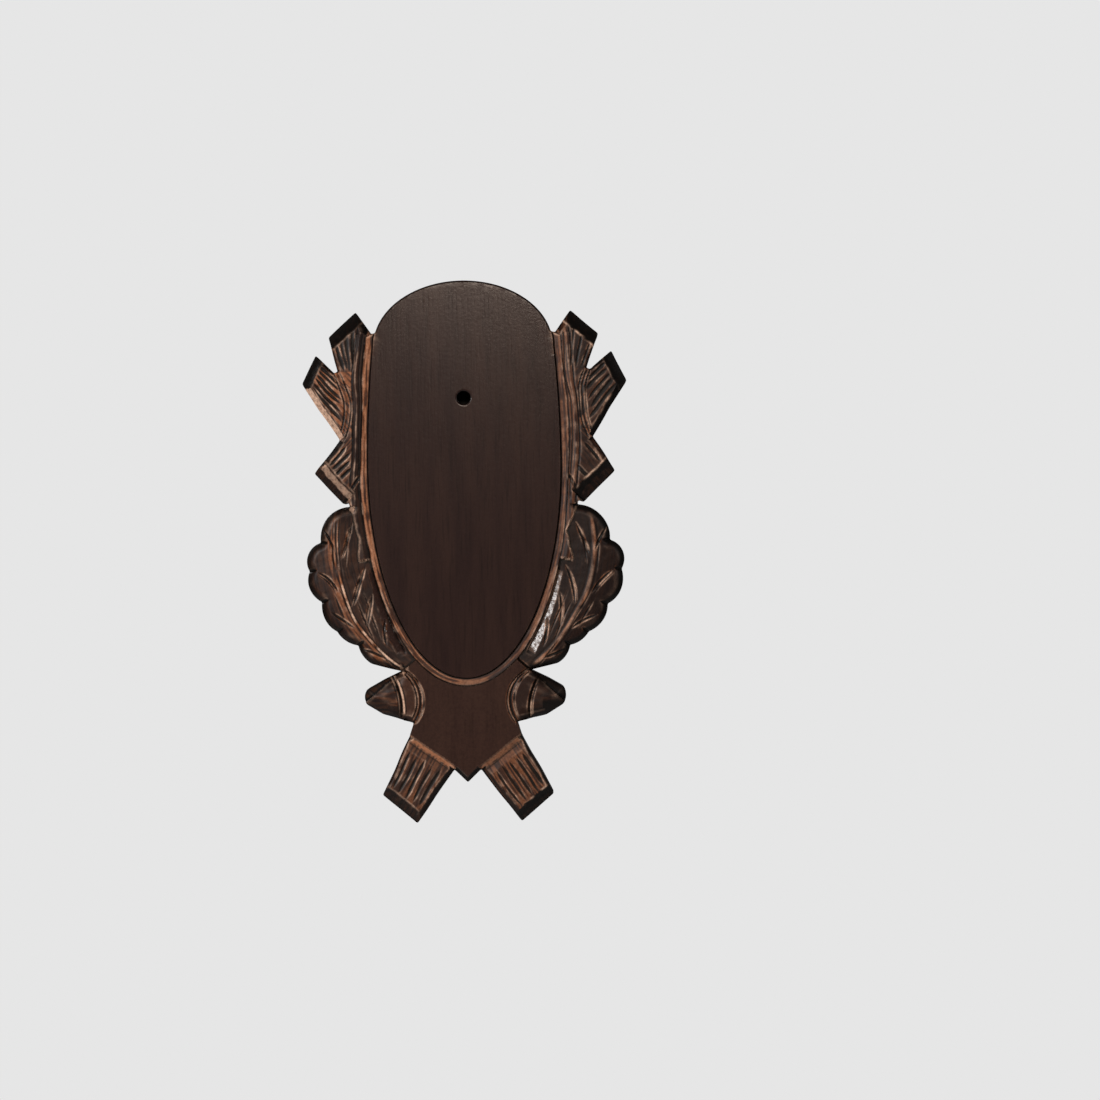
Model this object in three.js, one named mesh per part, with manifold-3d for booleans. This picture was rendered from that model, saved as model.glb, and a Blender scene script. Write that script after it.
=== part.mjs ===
// Antler mounting plaque: one oak board, sawn to outline and carved in low relief on its face.
// Sizes are in millimetres. The drawing lies flat: x across, y up the board from the widest
// line of the oval field, h out of the back. The group then stands it up, face to the front.
import * as THREE from "three";
import Module from "manifold-3d";

// Board.
const BOARD_WIDTH = 150;
const BOARD_THICKNESS = 18;

// Oval field. Half an ellipse below its widest line, easing sides and an elliptic cap above.
const FIELD_WIDTH = 88.4;
const CAP_WIDTH = 82.8;
const FIELD_RISE = 85;
const CAP_HEIGHT = 30;
const FIELD_DROP = 98;

// From the lower end of the field down to the feet.
const FOOT_DROP = 67;

// Groove round the field: steep inner wall, narrow floor, sloping outer band, low lip.
const GROOVE_DEPTH = 2.8;
const GROOVE_WIDTH = 3.6;
const GROOVE_WALL = 0.4;
const GROOVE_FLOOR = 0.5;
const LIP_DEPTH = 0.9;
const LIP_WIDTH = 0.4;

// Stem beside the field: its crest, as a distance out from the field, and from there its side.
const STEM_CREST = 6.6;
const STEM_SIDE = 1.7;
const STEM_CREST_DEPTH = 0.7;
const STEM_SIDE_DEPTH = 1.4;
const STEM_LEDGE_DEPTH = 1;

// Bark of the stubs, with sawn ends and pared sides.
const BARK_DEPTH = 1.3;
const SAWN_END_DROP = 4.6;
const PARED_SIDE = 2.6;
const PARED_SIDE_DROP = 2.8;
const EASED_SIDE = 1.3;
const END_1 = 4.8;
const END_2 = 4;
const END_3 = 6.6;

// Leaf: a low crown along its rib, lobes pared down at the rim.
const LEAF_DEPTH = 1.4;
const LEAF_INNER_SLOPE = 0.07;
const LEAF_OUTER_SLOPE = 0.11;
const LOBE_RIM = 3;
const LOBE_RIM_DROP = 2.2;
const NICK_LENGTH = 4.5;

// Acorn and its cup.
const CUP_DEPTH = 0.8;
const NUT_DEPTH = 1.3;
const NUT_FACET = 6.2;
const NUT_FACET_DROP = 3;
const TIP_FACET = 3.2;
const CUP_SHARE = 0.55;

// Legs: a sloping stop under the shield, then bark.
const STOP_WIDTH = 3.2;
const LEG_DEPTH = 2;
const LEG_END = 4.2;
const POINT_EDGE = 2;
const POINT_EDGE_DROP = 2;

// V cuts of the carver's parting tool.
const RIB_CUT = { width: 2, depth: 1 };
const VEIN_CUT = { width: 1.5, depth: 0.8 };
const BARK_CUT = { width: 1.7, depth: 0.8 };
const BORDER_CUT = { width: 1.8, depth: 1.1 };

// Screw hole through the field, with an eased front edge, on the axis of the board.
const HOLE_DIAMETER = 6;
const HOLE_HEIGHT = 31;
const HOLE_EASE = 0.6;

// Blind slot in the back for the head of a wall screw.
const SLOT_WIDTH = 8;
const SLOT_LENGTH = 18;
const SLOT_DEPTH = 8;
const SLOT_HEIGHT = 58;

// Eased front edge of the crown of the field.
const CROWN_EASE = 0.8;

// How far a cutter stands clear of the wood.
const CLEAR = 1;

// How fine the mesh is: a length along the edge of the field, and counts of steps.
const EDGE_STEP = 4.5;
const ROUND_SIDES = 32;
const RIB_STEPS = 18;
const LOBE_STEPS = 7;
const LINE_STEPS = 6;
const TIP_STEPS = 4;
const BORDER_STATIONS = [0.16, 0.24, 0.34, 1];

// Over which share of its length a V cut fades out at each end, and how deep it starts.
const FADE = 0.2;
const FADE_START = 0.1;

const HALF = BOARD_WIDTH / 2;
const CAP_FOOT = FIELD_RISE - CAP_HEIGHT;

// Half width of the field at height y.
function fieldHalf(y) {
  const half = FIELD_WIDTH / 2;
  const cap = CAP_WIDTH / 2;
  if (y >= FIELD_RISE || y <= -FIELD_DROP) return 0;
  if (y > CAP_FOOT) return cap * Math.sqrt(1 - ((y - CAP_FOOT) / CAP_HEIGHT) ** 2);
  if (y > 0) return half - (half - cap) * (y / CAP_FOOT) ** 2;
  return half * Math.sqrt(1 - (y / FIELD_DROP) ** 2);
}

// A point of the carving. Across runs from 0 at the edge of the field to 1 at the side of the
// board. Up runs from 1 at the crown over 0 at the widest line to -1 at the lower end of the
// field, and on to -2 at the feet.
function at([across, up]) {
  const below = -FIELD_DROP + (up + 1) * FOOT_DROP;
  const y = up >= 0 ? up * FIELD_RISE : up >= -1 ? up * FIELD_DROP : below;
  const edge = fieldHalf(y);
  return [edge + across * (HALF - edge), y];
}

// Corners of the outline, going down the right-hand side.
const NOTCH = [0.05, 0.716];
const STUB_1 = {
  peak: [0.368, 0.838],
  outer: [0.629, 0.705],
  shoulder: [0.576, 0.652],
  foot: [0.458, 0.517],
};
const STUB_2 = { root: [0.506, 0.509], peak: [0.798, 0.61], outer: [1, 0.451], foot: [0.461, 0.146] };
const STUB_3 = { outer: [0.82, -0.032], foot: [0.381, -0.178], heel: [0.302, -0.169] };
const LEAF_TOP = [0.286, -0.19];
// Each lobe: a point half way round it, then the nick that ends it.
const LOBES = [
  { mid: [0.651, -0.249], nick: [0.756, -0.358] },
  { mid: [0.93, -0.409], nick: [0.92, -0.494] },
  { mid: [0.922, -0.583], nick: [0.782, -0.649] },
  { mid: [0.767, -0.719], nick: [0.645, -0.784] },
  { mid: [0.587, -0.826], nick: [0.494, -0.848] },
  { mid: [0.496, -0.89], nick: [0.458, -0.934] },
];
const LEAF_FOOT = [0.381, -0.949];
const CROTCH = [0.291, -0.967];
const ACORN = {
  top: [0.51, -1.012],
  tipTop: [0.604, -1.072],
  tip: [0.621, -1.125],
  tipLow: [0.604, -1.185],
  low: [0.5, -1.256],
  armpit: [0.318, -1.307],
};
const LEG = { hip: [0.344, -1.4], outer: [0.528, -1.805], foot: [0.322, -2], inner: [0.081, -1.632] };
const POINT = [0, -1.72];

// Carved lines, each through a start, a middle and an end.
const RIB = [[0.262, -0.952], [0.477, -0.67], [0.486, -0.244]];
const INNER_VEINS = [
  [[0.476, -0.43], [0.402, -0.364], [0.278, -0.273]],
  [[0.419, -0.653], [0.349, -0.576], [0.2, -0.479]],
  [[0.326, -0.749], [0.27, -0.679], [0.202, -0.604]],
  [[0.245, -0.851], [0.208, -0.78], [0.153, -0.719]],
];
const OUTER_VEINS = [
  [[0.562, -0.404], [0.611, -0.35], [0.693, -0.299]],
  [[0.576, -0.597], [0.668, -0.545], [0.795, -0.501]],
  [[0.467, -0.766], [0.57, -0.731], [0.689, -0.7]],
  [[0.316, -0.912], [0.384, -0.886], [0.473, -0.865]],
];
const STUB_2_BASE = [[0.463, 0.503], [0.342, 0.335], [0.444, 0.146]];
const STUB_3_BASE = [[0.342, -0.165], [0.23, -0.1], [0.12, -0.043]];
const SHIELD_SIDE = [[0.27, -0.963], [0.269, -1.132], [0.31, -1.3]];
const CUP_RIM = [[0.396, -0.985], [0.399, -1.136], [0.396, -1.28]];
const STEM_END = -0.43;

// Bark lines of each branch end: the inner ends and the outer ends of its first and last line,
// and how many there are.
const BARK = [
  { inner: [[0.24, 0.47], [0.37, 0.5]], outer: [[0.345, 0.77], [0.53, 0.67]], lines: 4 },
  { inner: [[0.41, 0.44], [0.4, 0.24]], outer: [[0.73, 0.55], [0.88, 0.45]], lines: 5 },
  { inner: [[0.37, 0.1], [0.27, -0.02]], outer: [[0.6, 0.005], [0.44, -0.075]], lines: 3 },
  { inner: [[0.338, -1.5], [0.165, -1.625]], outer: [[0.465, -1.76], [0.315, -1.89]], lines: 4 },
];
const LEG_STOP = [[0.37, -1.36], [0.067, -1.611]];

const wasm = await Module();
wasm.setup();

// A closed solid from points and faces, turned outward if its volume comes out negative.
function solid(points, faces) {
  const six = faces.reduce((sum, face) => {
    const [a, b, c] = face.map((i) => new THREE.Vector3(...points[i]));
    return sum + a.dot(b.cross(c));
  }, 0);
  const turned = six < 0 ? faces.map(([a, b, c]) => [a, c, b]) : faces;
  const mesh = new wasm.Mesh({
    numProp: 3,
    vertProperties: new Float32Array(points.flat()),
    triVerts: new Uint32Array(turned.flat()),
  });
  return new wasm.Manifold(mesh);
}

// A prism over a closed line, between two heights above the back.
function prism(line, low, high) {
  const n = line.length;
  const cap = THREE.ShapeUtils.triangulateShape(line.map(([x, y]) => new THREE.Vector2(x, y)), []);
  const points = [low, high].flatMap((h) => line.map(([x, y]) => [x, y, h]));
  const winding = THREE.ShapeUtils.area(line.map(([x, y]) => ({ x, y }))) > 0;
  const faces = cap.flatMap(([a, b, c]) => [[a, c, b], [a + n, b + n, c + n]]);
  line.forEach((_, i) => {
    const j = (i + 1) % n;
    const wall = [[i, j, j + n], [i, j + n, i + n]];
    faces.push(...(winding ? wall : wall.map(([a, b, c]) => [a, c, b])));
  });
  return solid(points, faces);
}

// A cutter drawn along a path. The section gives [offset to the left, depth under the face]
// pairs; its first and last pair stand above the face, so that the cutter is open there.
function sweep(path, section) {
  const last = path.length - 1;
  const rings = path.map(([x, y], i) => {
    const [ax, ay] = path[Math.max(i - 1, 0)];
    const [bx, by] = path[Math.min(i + 1, last)];
    const length = Math.hypot(bx - ax, by - ay);
    const [nx, ny] = [-(by - ay) / length, (bx - ax) / length];
    return section(i / last, x, y, nx, ny).map(([offset, depth]) => [
      x + nx * offset,
      y + ny * offset,
      BOARD_THICKNESS - depth,
    ]);
  });
  const n = rings[0].length;
  const faces = [];
  for (let i = 0; i < last; i++)
    for (let k = 0; k < n; k++) {
      const [a, b] = [i * n + k, i * n + ((k + 1) % n)];
      faces.push([a, b, b + n], [a, b + n, a + n]);
    }
  const end = last * n;
  for (let k = 1; k < n - 1; k++) faces.push([0, k + 1, k], [end, end + k, end + k + 1]);
  return solid(rings.flat(), faces);
}

// Circle through three points: centre and radius.
function circle([ax, ay], [bx, by], [cx, cy]) {
  const d = 2 * (ax * (by - cy) + bx * (cy - ay) + cx * (ay - by));
  const [a, b, c] = [ax * ax + ay * ay, bx * bx + by * by, cx * cx + cy * cy];
  const x = (a * (by - cy) + b * (cy - ay) + c * (ay - by)) / d;
  const y = (a * (cx - bx) + b * (ax - cx) + c * (bx - ax)) / d;
  return { x, y, radius: Math.hypot(ax - x, ay - y) };
}

// Round line from one point through a second to a third, in equal steps.
function arc(points, steps) {
  const [p, m, q] = points;
  const { x, y, radius } = circle(p, m, q);
  const angle = ([px, py]) => Math.atan2(py - y, px - x);
  const full = 2 * Math.PI;
  const span = (to) => (((angle(to) - angle(p)) % full) + full) % full;
  const turn = span(m) < span(q) ? span(q) : span(q) - full;
  return Array.from({ length: steps + 1 }, (_, i) => {
    const t = angle(p) + (turn * i) / steps;
    return [x + radius * Math.cos(t), y + radius * Math.sin(t)];
  });
}

function between([ax, ay], [bx, by], t) {
  return [ax + (bx - ax) * t, ay + (by - ay) * t];
}

// A line with its start and its end carried on by a length each.
function longer(path, before, after = before) {
  const carry = (from, to, reach) => {
    const length = Math.hypot(to[0] - from[0], to[1] - from[1]);
    return between(from, to, 1 + reach / length);
  };
  const last = path.length - 1;
  const start = carry(path[1], path[0], before);
  return [start, ...path.slice(1, last), carry(path[last - 1], path[last], after)];
}

// Edge of the field on the right, from the notch down to the lower end.
function fieldEdge() {
  const top = at([0, NOTCH[1]])[1];
  const rows = Math.ceil(top / EDGE_STEP);
  const side = Array.from({ length: rows }, (_, i) => top - (top * i) / rows);
  const turns = Math.ceil(FIELD_DROP / EDGE_STEP);
  const lower = Array.from({ length: turns + 1 }, (_, i) => {
    const angle = ((Math.PI / 2) * i) / turns;
    return [(FIELD_WIDTH / 2) * Math.cos(angle), -FIELD_DROP * Math.sin(angle)];
  });
  return [...side.map((y) => [fieldHalf(y), y]), ...lower];
}

// Which point of a path lies nearest to a given one.
function nearestTo([x, y], path) {
  const gaps = path.map(([px, py]) => Math.hypot(px - x, py - y));
  return gaps.indexOf(Math.min(...gaps));
}

// Edge of the cap from the crown down to the notch.
function crownEdge() {
  const notch = at([0, NOTCH[1]]);
  const start = Math.asin((notch[1] - CAP_FOOT) / CAP_HEIGHT);
  const turns = Math.ceil((Math.PI * CAP_WIDTH) / 4 / EDGE_STEP);
  return Array.from({ length: turns + 1 }, (_, i) => {
    const angle = Math.PI / 2 + ((start - Math.PI / 2) * i) / turns;
    return [(CAP_WIDTH / 2) * Math.cos(angle), CAP_FOOT + CAP_HEIGHT * Math.sin(angle)];
  });
}

const lobePaths = LOBES.map(({ mid, nick }, i) => {
  const start = i ? LOBES[i - 1].nick : LEAF_TOP;
  return arc([at(start), at(mid), at(nick)], LOBE_STEPS);
});
const tailPath = [LOBES[LOBES.length - 1].nick, LEAF_FOOT, CROTCH].map(at);

// Right-hand outline from the crown to the point between the legs.
const rightSide = [
  ...crownEdge(),
  at(NOTCH),
  ...Object.values(STUB_1).map(at),
  ...Object.values(STUB_2).map(at),
  ...Object.values(STUB_3).map(at),
  ...lobePaths.flatMap((path, i) => (i ? path.slice(1) : path)),
  ...tailPath.slice(1),
  at(ACORN.top),
  ...arc([at(ACORN.tipTop), at(ACORN.tip), at(ACORN.tipLow)], TIP_STEPS),
  at(ACORN.low),
  at(ACORN.armpit),
  ...Object.values(LEG).map(at),
  at(POINT),
];
const mirrored = rightSide.slice(1, -1).reverse().map(([x, y]) => [-x, y]);
const outline = [...rightSide, ...mirrored];

// V cut of a parting tool along a path, fading out at both ends, on wood that lies at level(x, y).
function vCut(path, { width, depth }, level) {
  const slope = depth / (width / 2);
  return sweep(path, (t, x, y) => {
    const full = Math.min(1, Math.min(t, 1 - t) / FADE + FADE_START);
    const bottom = level(x, y) + depth * full;
    const half = (bottom + CLEAR) / slope;
    return [[-half, -CLEAR], [0, bottom], [half, -CLEAR]];
  });
}

// Plane cut along an edge: starts width inside the edge at the level of the wood and drops
// from there to the edge. Before and after carry the cut past the two ends.
function paring(path, width, level, drop, before = 0, after = before) {
  const slope = drop / width;
  const start = -width - (level + CLEAR) / slope;
  const out = EASED_SIDE / 2;
  return sweep(longer(path, before, after), () => [
    [start, -CLEAR],
    [out, level + drop + slope * out],
    [out, -CLEAR],
  ]);
}

const ribCircle = circle(...RIB.map(at));

function leafLevel(x, y) {
  const beyond = Math.hypot(x - ribCircle.x, y - ribCircle.y) - ribCircle.radius;
  const slope = beyond > 0 ? LEAF_OUTER_SLOPE : LEAF_INNER_SLOPE;
  return LEAF_DEPTH + slope * Math.abs(beyond);
}

const barkLevel = () => BARK_DEPTH;
const legLevel = () => LEG_DEPTH;
const faceLevel = () => 0;

// Lowered border outside the groove, from the first stub to the tip of the leaf. The stem is a
// ridge beside the groove; outside it lie the bark of the stubs and, lower down, the leaf.
function border() {
  const edge = fieldEdge();
  const leafTop = at(LEAF_TOP)[1];
  const stemEnd = STEM_END * FIELD_DROP;
  const [topX, topY] = edge[0];
  const end = nearestTo(at(CROTCH), edge) + 1;
  const path = [[topX, topY + BOARD_THICKNESS], ...edge.slice(0, end)];
  const lip = GROOVE_WIDTH;
  const foot = STEM_CREST + STEM_SIDE;
  const wall = foot + GROOVE_WALL;
  const beyond = BORDER_STATIONS.map((share) => share * HALF);
  return sweep(path, (t, x, y, nx, ny) => {
    const on = (offset) => leafLevel(x + nx * offset, y + ny * offset);
    const leaf = y < leafTop;
    const stem = y > stemEnd;
    const outer = leaf ? on : barkLevel;
    const shoulder = stem ? STEM_SIDE_DEPTH : outer(foot);
    return [
      [lip, -CLEAR],
      [lip, stem ? STEM_SIDE_DEPTH : outer(lip)],
      [STEM_CREST, stem ? STEM_CREST_DEPTH : outer(STEM_CREST)],
      [foot, leaf && stem ? STEM_LEDGE_DEPTH : shoulder],
      [wall, leaf ? on(wall) : STEM_SIDE_DEPTH],
      ...beyond.map((offset) => [offset, outer(offset)]),
      [HALF, -CLEAR],
    ];
  });
}

function groove() {
  const right = longer(fieldEdge(), BARK_DEPTH).slice(0, -1);
  const bottom = [0, -FIELD_DROP];
  const left = right.map(([x, y]) => [-x, y]).reverse();
  return sweep([...right, bottom, ...left], () => [
    [0, -CLEAR],
    [0, 0],
    [GROOVE_WALL, GROOVE_DEPTH],
    [GROOVE_WALL + GROOVE_FLOOR, GROOVE_DEPTH],
    [GROOVE_WIDTH, LIP_DEPTH],
    [GROOVE_WIDTH + LIP_WIDTH, 0],
    [GROOVE_WIDTH + LIP_WIDTH, -CLEAR],
  ]);
}

// Acorn: a pocket down to the cup, a deeper one for the nut, and the lines between them.
function acornCuts() {
  const side = arc(SHIELD_SIDE.map(at), 2 * LINE_STEPS);
  const rim = arc(CUP_RIM.map(at), LINE_STEPS);
  const far = [[HALF, at(ACORN.armpit)[1] - CLEAR], [HALF, at(CROTCH)[1] - CLEAR]];
  const top = BOARD_THICKNESS + CLEAR;
  const upper = [at(CROTCH), at(ACORN.top), at(ACORN.tipTop)];
  const lower = [at(ACORN.tipLow), at(ACORN.low), at(ACORN.armpit)];
  const nutUpper = [between(upper[0], upper[1], CUP_SHARE), upper[1], upper[2]];
  const nutLower = [lower[0], lower[1], between(lower[2], lower[1], CUP_SHARE)];
  return [
    prism([...longer(side, CLEAR), ...far], BOARD_THICKNESS - CUP_DEPTH, top),
    prism([...longer(rim, CLEAR), ...far], BOARD_THICKNESS - NUT_DEPTH, top),
    vCut(longer(side, CLEAR), BORDER_CUT, faceLevel),
    vCut(longer(rim, CLEAR), VEIN_CUT, () => NUT_DEPTH),
    paring([upper[0], upper[1]], PARED_SIDE, CUP_DEPTH, PARED_SIDE_DROP / 2),
    paring([lower[1], lower[2]], PARED_SIDE, CUP_DEPTH, PARED_SIDE_DROP / 2),
    paring(nutUpper, NUT_FACET, NUT_DEPTH, NUT_FACET_DROP),
    paring(nutLower, NUT_FACET, NUT_DEPTH, NUT_FACET_DROP),
    paring([upper[2], lower[0]], TIP_FACET, NUT_DEPTH, NUT_FACET_DROP, CLEAR),
  ];
}

function stubCuts() {
  const [notch, one, two, three] = [at(NOTCH), STUB_1, STUB_2, STUB_3];
  const side = (path, width, drop) => paring(path.map(at), width, BARK_DEPTH, drop);
  const sawn = (path, width, after) =>
    paring(path.map(at), width, BARK_DEPTH, SAWN_END_DROP, PARED_SIDE, after);
  return [
    paring([notch, at(one.peak)], PARED_SIDE, BARK_DEPTH, PARED_SIDE_DROP),
    sawn([one.peak, one.outer], END_1, PARED_SIDE),
    side([one.outer, one.shoulder, one.foot], EASED_SIDE, EASED_SIDE),
    side([two.root, two.peak], EASED_SIDE, EASED_SIDE),
    sawn([two.peak, two.outer], END_2, PARED_SIDE),
    side([two.outer, two.foot], PARED_SIDE, PARED_SIDE_DROP),
    side([two.foot, three.outer], PARED_SIDE, PARED_SIDE_DROP),
    sawn([three.outer, three.foot], END_3, 0),
    vCut(longer(arc(STUB_2_BASE.map(at), 2 * LINE_STEPS), CLEAR), BORDER_CUT, barkLevel),
    vCut(longer(arc(STUB_3_BASE.map(at), LINE_STEPS), PARED_SIDE, 0), BORDER_CUT, barkLevel),
  ];
}

function leafCuts() {
  const vein = (points) => vCut(arc(points.map(at), LINE_STEPS), VEIN_CUT, leafLevel);
  const rim = (path) => {
    const [x, y] = path[path.length >> 1];
    return paring(path, LOBE_RIM, leafLevel(x, y), LOBE_RIM_DROP);
  };
  // Stop cut from a nick into the leaf, square to the rib.
  const nickCut = ({ nick }) => {
    const [x, y] = at(nick);
    const [dx, dy] = [ribCircle.x - x, ribCircle.y - y];
    const inner = NICK_LENGTH / Math.hypot(dx, dy);
    const path = [-inner, -inner / 2, 0, inner / 2, inner].map((t) => [x + dx * t, y + dy * t]);
    return vCut(path, BORDER_CUT, () => leafLevel(x, y) + LOBE_RIM_DROP / 2);
  };
  const edge = fieldEdge();
  const [tip, foot] = [at(CROTCH), edge[nearestTo(at(CROTCH), edge)]];
  const leafEnd = [0, 1 / 3, 2 / 3].map((t) => between(tip, foot, t));
  return [
    vCut(arc(RIB.map(at), RIB_STEPS), RIB_CUT, leafLevel),
    ...[...INNER_VEINS, ...OUTER_VEINS].map(vein),
    ...[...lobePaths, tailPath].map(rim),
    ...LOBES.slice(0, -1).map(nickCut),
    vCut(longer(leafEnd, CLEAR, 0), BORDER_CUT, () => CUP_DEPTH),
  ];
}

function legCuts() {
  const stop = LEG_STOP.map(at);
  const reach = 2 * FOOT_DROP;
  const low = LEG_DEPTH + EASED_SIDE / 2;
  const [hip, outer, foot, inner, point] = [LEG.hip, LEG.outer, LEG.foot, LEG.inner, POINT].map(at);
  return [
    sweep(stop, () => [
      [0, -CLEAR],
      [0, 0],
      [STOP_WIDTH, low],
      [2 * STOP_WIDTH, LEG_DEPTH],
      [reach, LEG_DEPTH],
      [reach, -CLEAR],
    ]),
    paring([hip, outer], EASED_SIDE, LEG_DEPTH, EASED_SIDE),
    paring([outer, foot], LEG_END, LEG_DEPTH, SAWN_END_DROP, PARED_SIDE),
    paring([foot, inner], PARED_SIDE, LEG_DEPTH, PARED_SIDE_DROP),
    paring([inner, point], POINT_EDGE, 0, POINT_EDGE_DROP),
  ];
}

function barkCuts() {
  return BARK.flatMap(({ inner, outer, lines }, end) => {
    const [a, b, c, d] = [...inner, ...outer].map(at);
    const level = end === BARK.length - 1 ? legLevel : barkLevel;
    return Array.from({ length: lines }, (_, k) => {
      const t = k / (lines - 1);
      const [from, to] = [between(a, b, t), between(c, d, t)];
      const path = Array.from({ length: LINE_STEPS }, (_, i) => between(from, to, i / (LINE_STEPS - 1)));
      return vCut(path, BARK_CUT, level);
    });
  });
}

// Round hole with its front edge eased, drawn as one turned shape on the axis.
function screwHole() {
  const radius = HOLE_DIAMETER / 2;
  const ring = (r, h) => Array.from({ length: ROUND_SIDES }, (_, i) => {
    const angle = (2 * Math.PI * i) / ROUND_SIDES;
    return [r * Math.cos(angle), HOLE_HEIGHT + r * Math.sin(angle), h];
  });
  const levels = [
    ring(radius, -CLEAR),
    ring(radius, BOARD_THICKNESS - HOLE_EASE),
    ring(radius + HOLE_EASE + CLEAR, BOARD_THICKNESS + CLEAR),
  ];
  const n = ROUND_SIDES;
  const faces = [];
  for (let i = 0; i < n; i++) {
    const j = (i + 1) % n;
    for (const base of [0, n]) {
      faces.push([base + i, base + j, base + n + j], [base + i, base + n + j, base + n + i]);
    }
    if (i > 0 && i < n - 1) faces.push([0, i + 1, i], [2 * n, 2 * n + i, 2 * n + i + 1]);
  }
  return solid(levels.flat(), faces);
}

function wallSlot() {
  const radius = SLOT_WIDTH / 2;
  const run = SLOT_LENGTH / 2 - radius;
  const half = (start, shift) => Array.from({ length: ROUND_SIDES / 2 + 1 }, (_, i) => {
    const angle = start + (2 * Math.PI * i) / ROUND_SIDES;
    return [radius * Math.cos(angle), SLOT_HEIGHT + shift + radius * Math.sin(angle)];
  });
  return prism([...half(0, run), ...half(Math.PI, -run)], -CLEAR, SLOT_DEPTH);
}

// The same cut on the left-hand side.
const flip = (cutter) => cutter.mirror([1, 0, 0]);

const crown = paring(crownEdge(), CROWN_EASE, 0, CROWN_EASE);
const cuts = [border(), crown, ...stubCuts(), ...leafCuts(), ...acornCuts(), ...legCuts(), ...barkCuts()];
const carved = cuts.reduce(
  (board, cutter) => board.subtract(cutter).subtract(flip(cutter)),
  prism(outline, 0, BOARD_THICKNESS),
);
const plaque = carved.subtract(groove()).subtract(screwHole()).subtract(wallSlot());

const { numProp, vertProperties, triVerts } = plaque.getMesh();
const geometry = new THREE.BufferGeometry();
geometry.setAttribute("position", new THREE.BufferAttribute(vertProperties, numProp));
geometry.setIndex(new THREE.BufferAttribute(triVerts, 1));
geometry.computeVertexNormals();

const oak = new THREE.MeshStandardMaterial({ color: 0x33231c, roughness: 0.35, metalness: 0 });
const mesh = new THREE.Mesh(geometry, oak);
mesh.name = "plaque";

const group = new THREE.Group();
group.name = "antler_mounting_plaque";
group.rotation.x = Math.PI / 2;
group.add(mesh);

export default group;
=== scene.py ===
"""Antler mounting plaque: a carved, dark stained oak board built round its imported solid.

The carving is drawn flat, in millimetres: x across, y up the board from the widest line of the
oval field, and a depth under the face at each point. It is worked out on a fine lattice of
points, joined to crisp lines at the outline and the groove, and stood up in the shared frame.
"""

import math

import bpy
import numpy as np
from bpy.props import FloatProperty, FloatVectorProperty, PointerProperty
from mathutils import Matrix, Vector
from mathutils.geometry import delaunay_2d_cdt


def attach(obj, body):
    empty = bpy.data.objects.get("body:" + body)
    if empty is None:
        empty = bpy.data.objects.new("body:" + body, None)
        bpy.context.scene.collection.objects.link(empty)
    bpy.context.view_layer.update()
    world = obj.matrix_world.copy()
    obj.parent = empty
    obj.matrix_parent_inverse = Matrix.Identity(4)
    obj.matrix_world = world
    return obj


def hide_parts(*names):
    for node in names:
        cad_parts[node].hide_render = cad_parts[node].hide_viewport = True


bl_info = {
    "name": "Antler mounting plaque",
    "version": (1, 0, 0),
    "blender": (4, 5, 0),
    "location": "View3D > Sidebar > Plaque",
    "description": "Carves and finishes a small oak wall plaque and lights it",
    "category": "Object",
}

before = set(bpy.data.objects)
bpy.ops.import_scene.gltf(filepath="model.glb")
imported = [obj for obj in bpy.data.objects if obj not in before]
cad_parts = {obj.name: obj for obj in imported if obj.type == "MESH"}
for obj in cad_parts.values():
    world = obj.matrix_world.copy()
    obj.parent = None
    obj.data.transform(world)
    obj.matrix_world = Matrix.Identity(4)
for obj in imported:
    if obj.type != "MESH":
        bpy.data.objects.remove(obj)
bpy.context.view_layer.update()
MM = 0.001

# The two halves of the board, as the viewer sees them.
LEFT, RIGHT = 0, 1

# Board and oval field, as the solid has them.
BOARD_WIDTH = 150
BOARD_THICKNESS = 18
FIELD_WIDTH = 88.4
CAP_WIDTH = 82.8
FIELD_RISE = 85
CAP_HEIGHT = 30
FIELD_DROP = 98
FOOT_DROP = 67
HALF = BOARD_WIDTH / 2
CAP_FOOT = FIELD_RISE - CAP_HEIGHT

# Groove round the field: offset from the field's edge, and depth there. The light band on it
# carries a painted highlight along its lines, by one value on the left and one on the right,
# blended across the foot over a width.
GROOVE_OFFSETS = (0, 0.3, 0.55, 3.6, 4.0)
GROOVE_DEPTHS = (0, 1.8, 1.4, 0.9, 0)
GROOVE_WIDTH = 3.6
BORDER_START = 3.8
BAND_HIGHLIGHT = (0.3, 0.12)
BAND_BLEND = 60

# Stem, bark, leaf, acorn and legs: depths under the face.
STEM_OFFSETS = (3.6, 6.6, 8.3)
STEM_DEPTHS = (1.4, 0.7, 1.4)
STEM_LEDGE_DEPTH = 1.0
STEM_END = -0.43
BARK_DEPTH = 1.3
LEAF_DEPTH = 1.4
LEAF_INNER_SLOPE = 0.07
LEAF_OUTER_SLOPE = 0.11
CUP_DEPTH = 0.8
NUT_DEPTH = 1.3
LEG_DEPTH = 2.0
STOP_OFFSETS = (0, 3.2, 6.4)
STOP_DEPTHS = (0, 2.65, 2.0)

# Pared edges: width of the facet and how far it drops.
SIDE = (2.6, 2.8)
EASED = (1.3, 1.3)
SAWN_DROP = 4.6
SAWN_DISH = 0.35
END_1, END_2, END_3, LEG_END = 6.0, 5.0, 7.2, 5.2
LOBE_RIM = (4.2, 2.6)
NUT_ROUND = (7.5, 4.0)
CUP_SIDE = (2.6, 1.4)
CUP_SHARE = 0.55
POINT_EDGE = (2.0, 2.0)
CROWN_EASE = 0.8
NICK_LENGTH = 3.6

# Screw hole through the field and blind slot in the back.
HOLE_RADIUS = 3.0
HOLE_HEIGHT = 31.0
HOLE_EASE = 0.6
SLOT_RADIUS = 4.0
SLOT_RUN = 5.0
SLOT_DEPTH = 8.0
SLOT_HEIGHT = 58.0
ROUND_SIDES = 48

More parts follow.
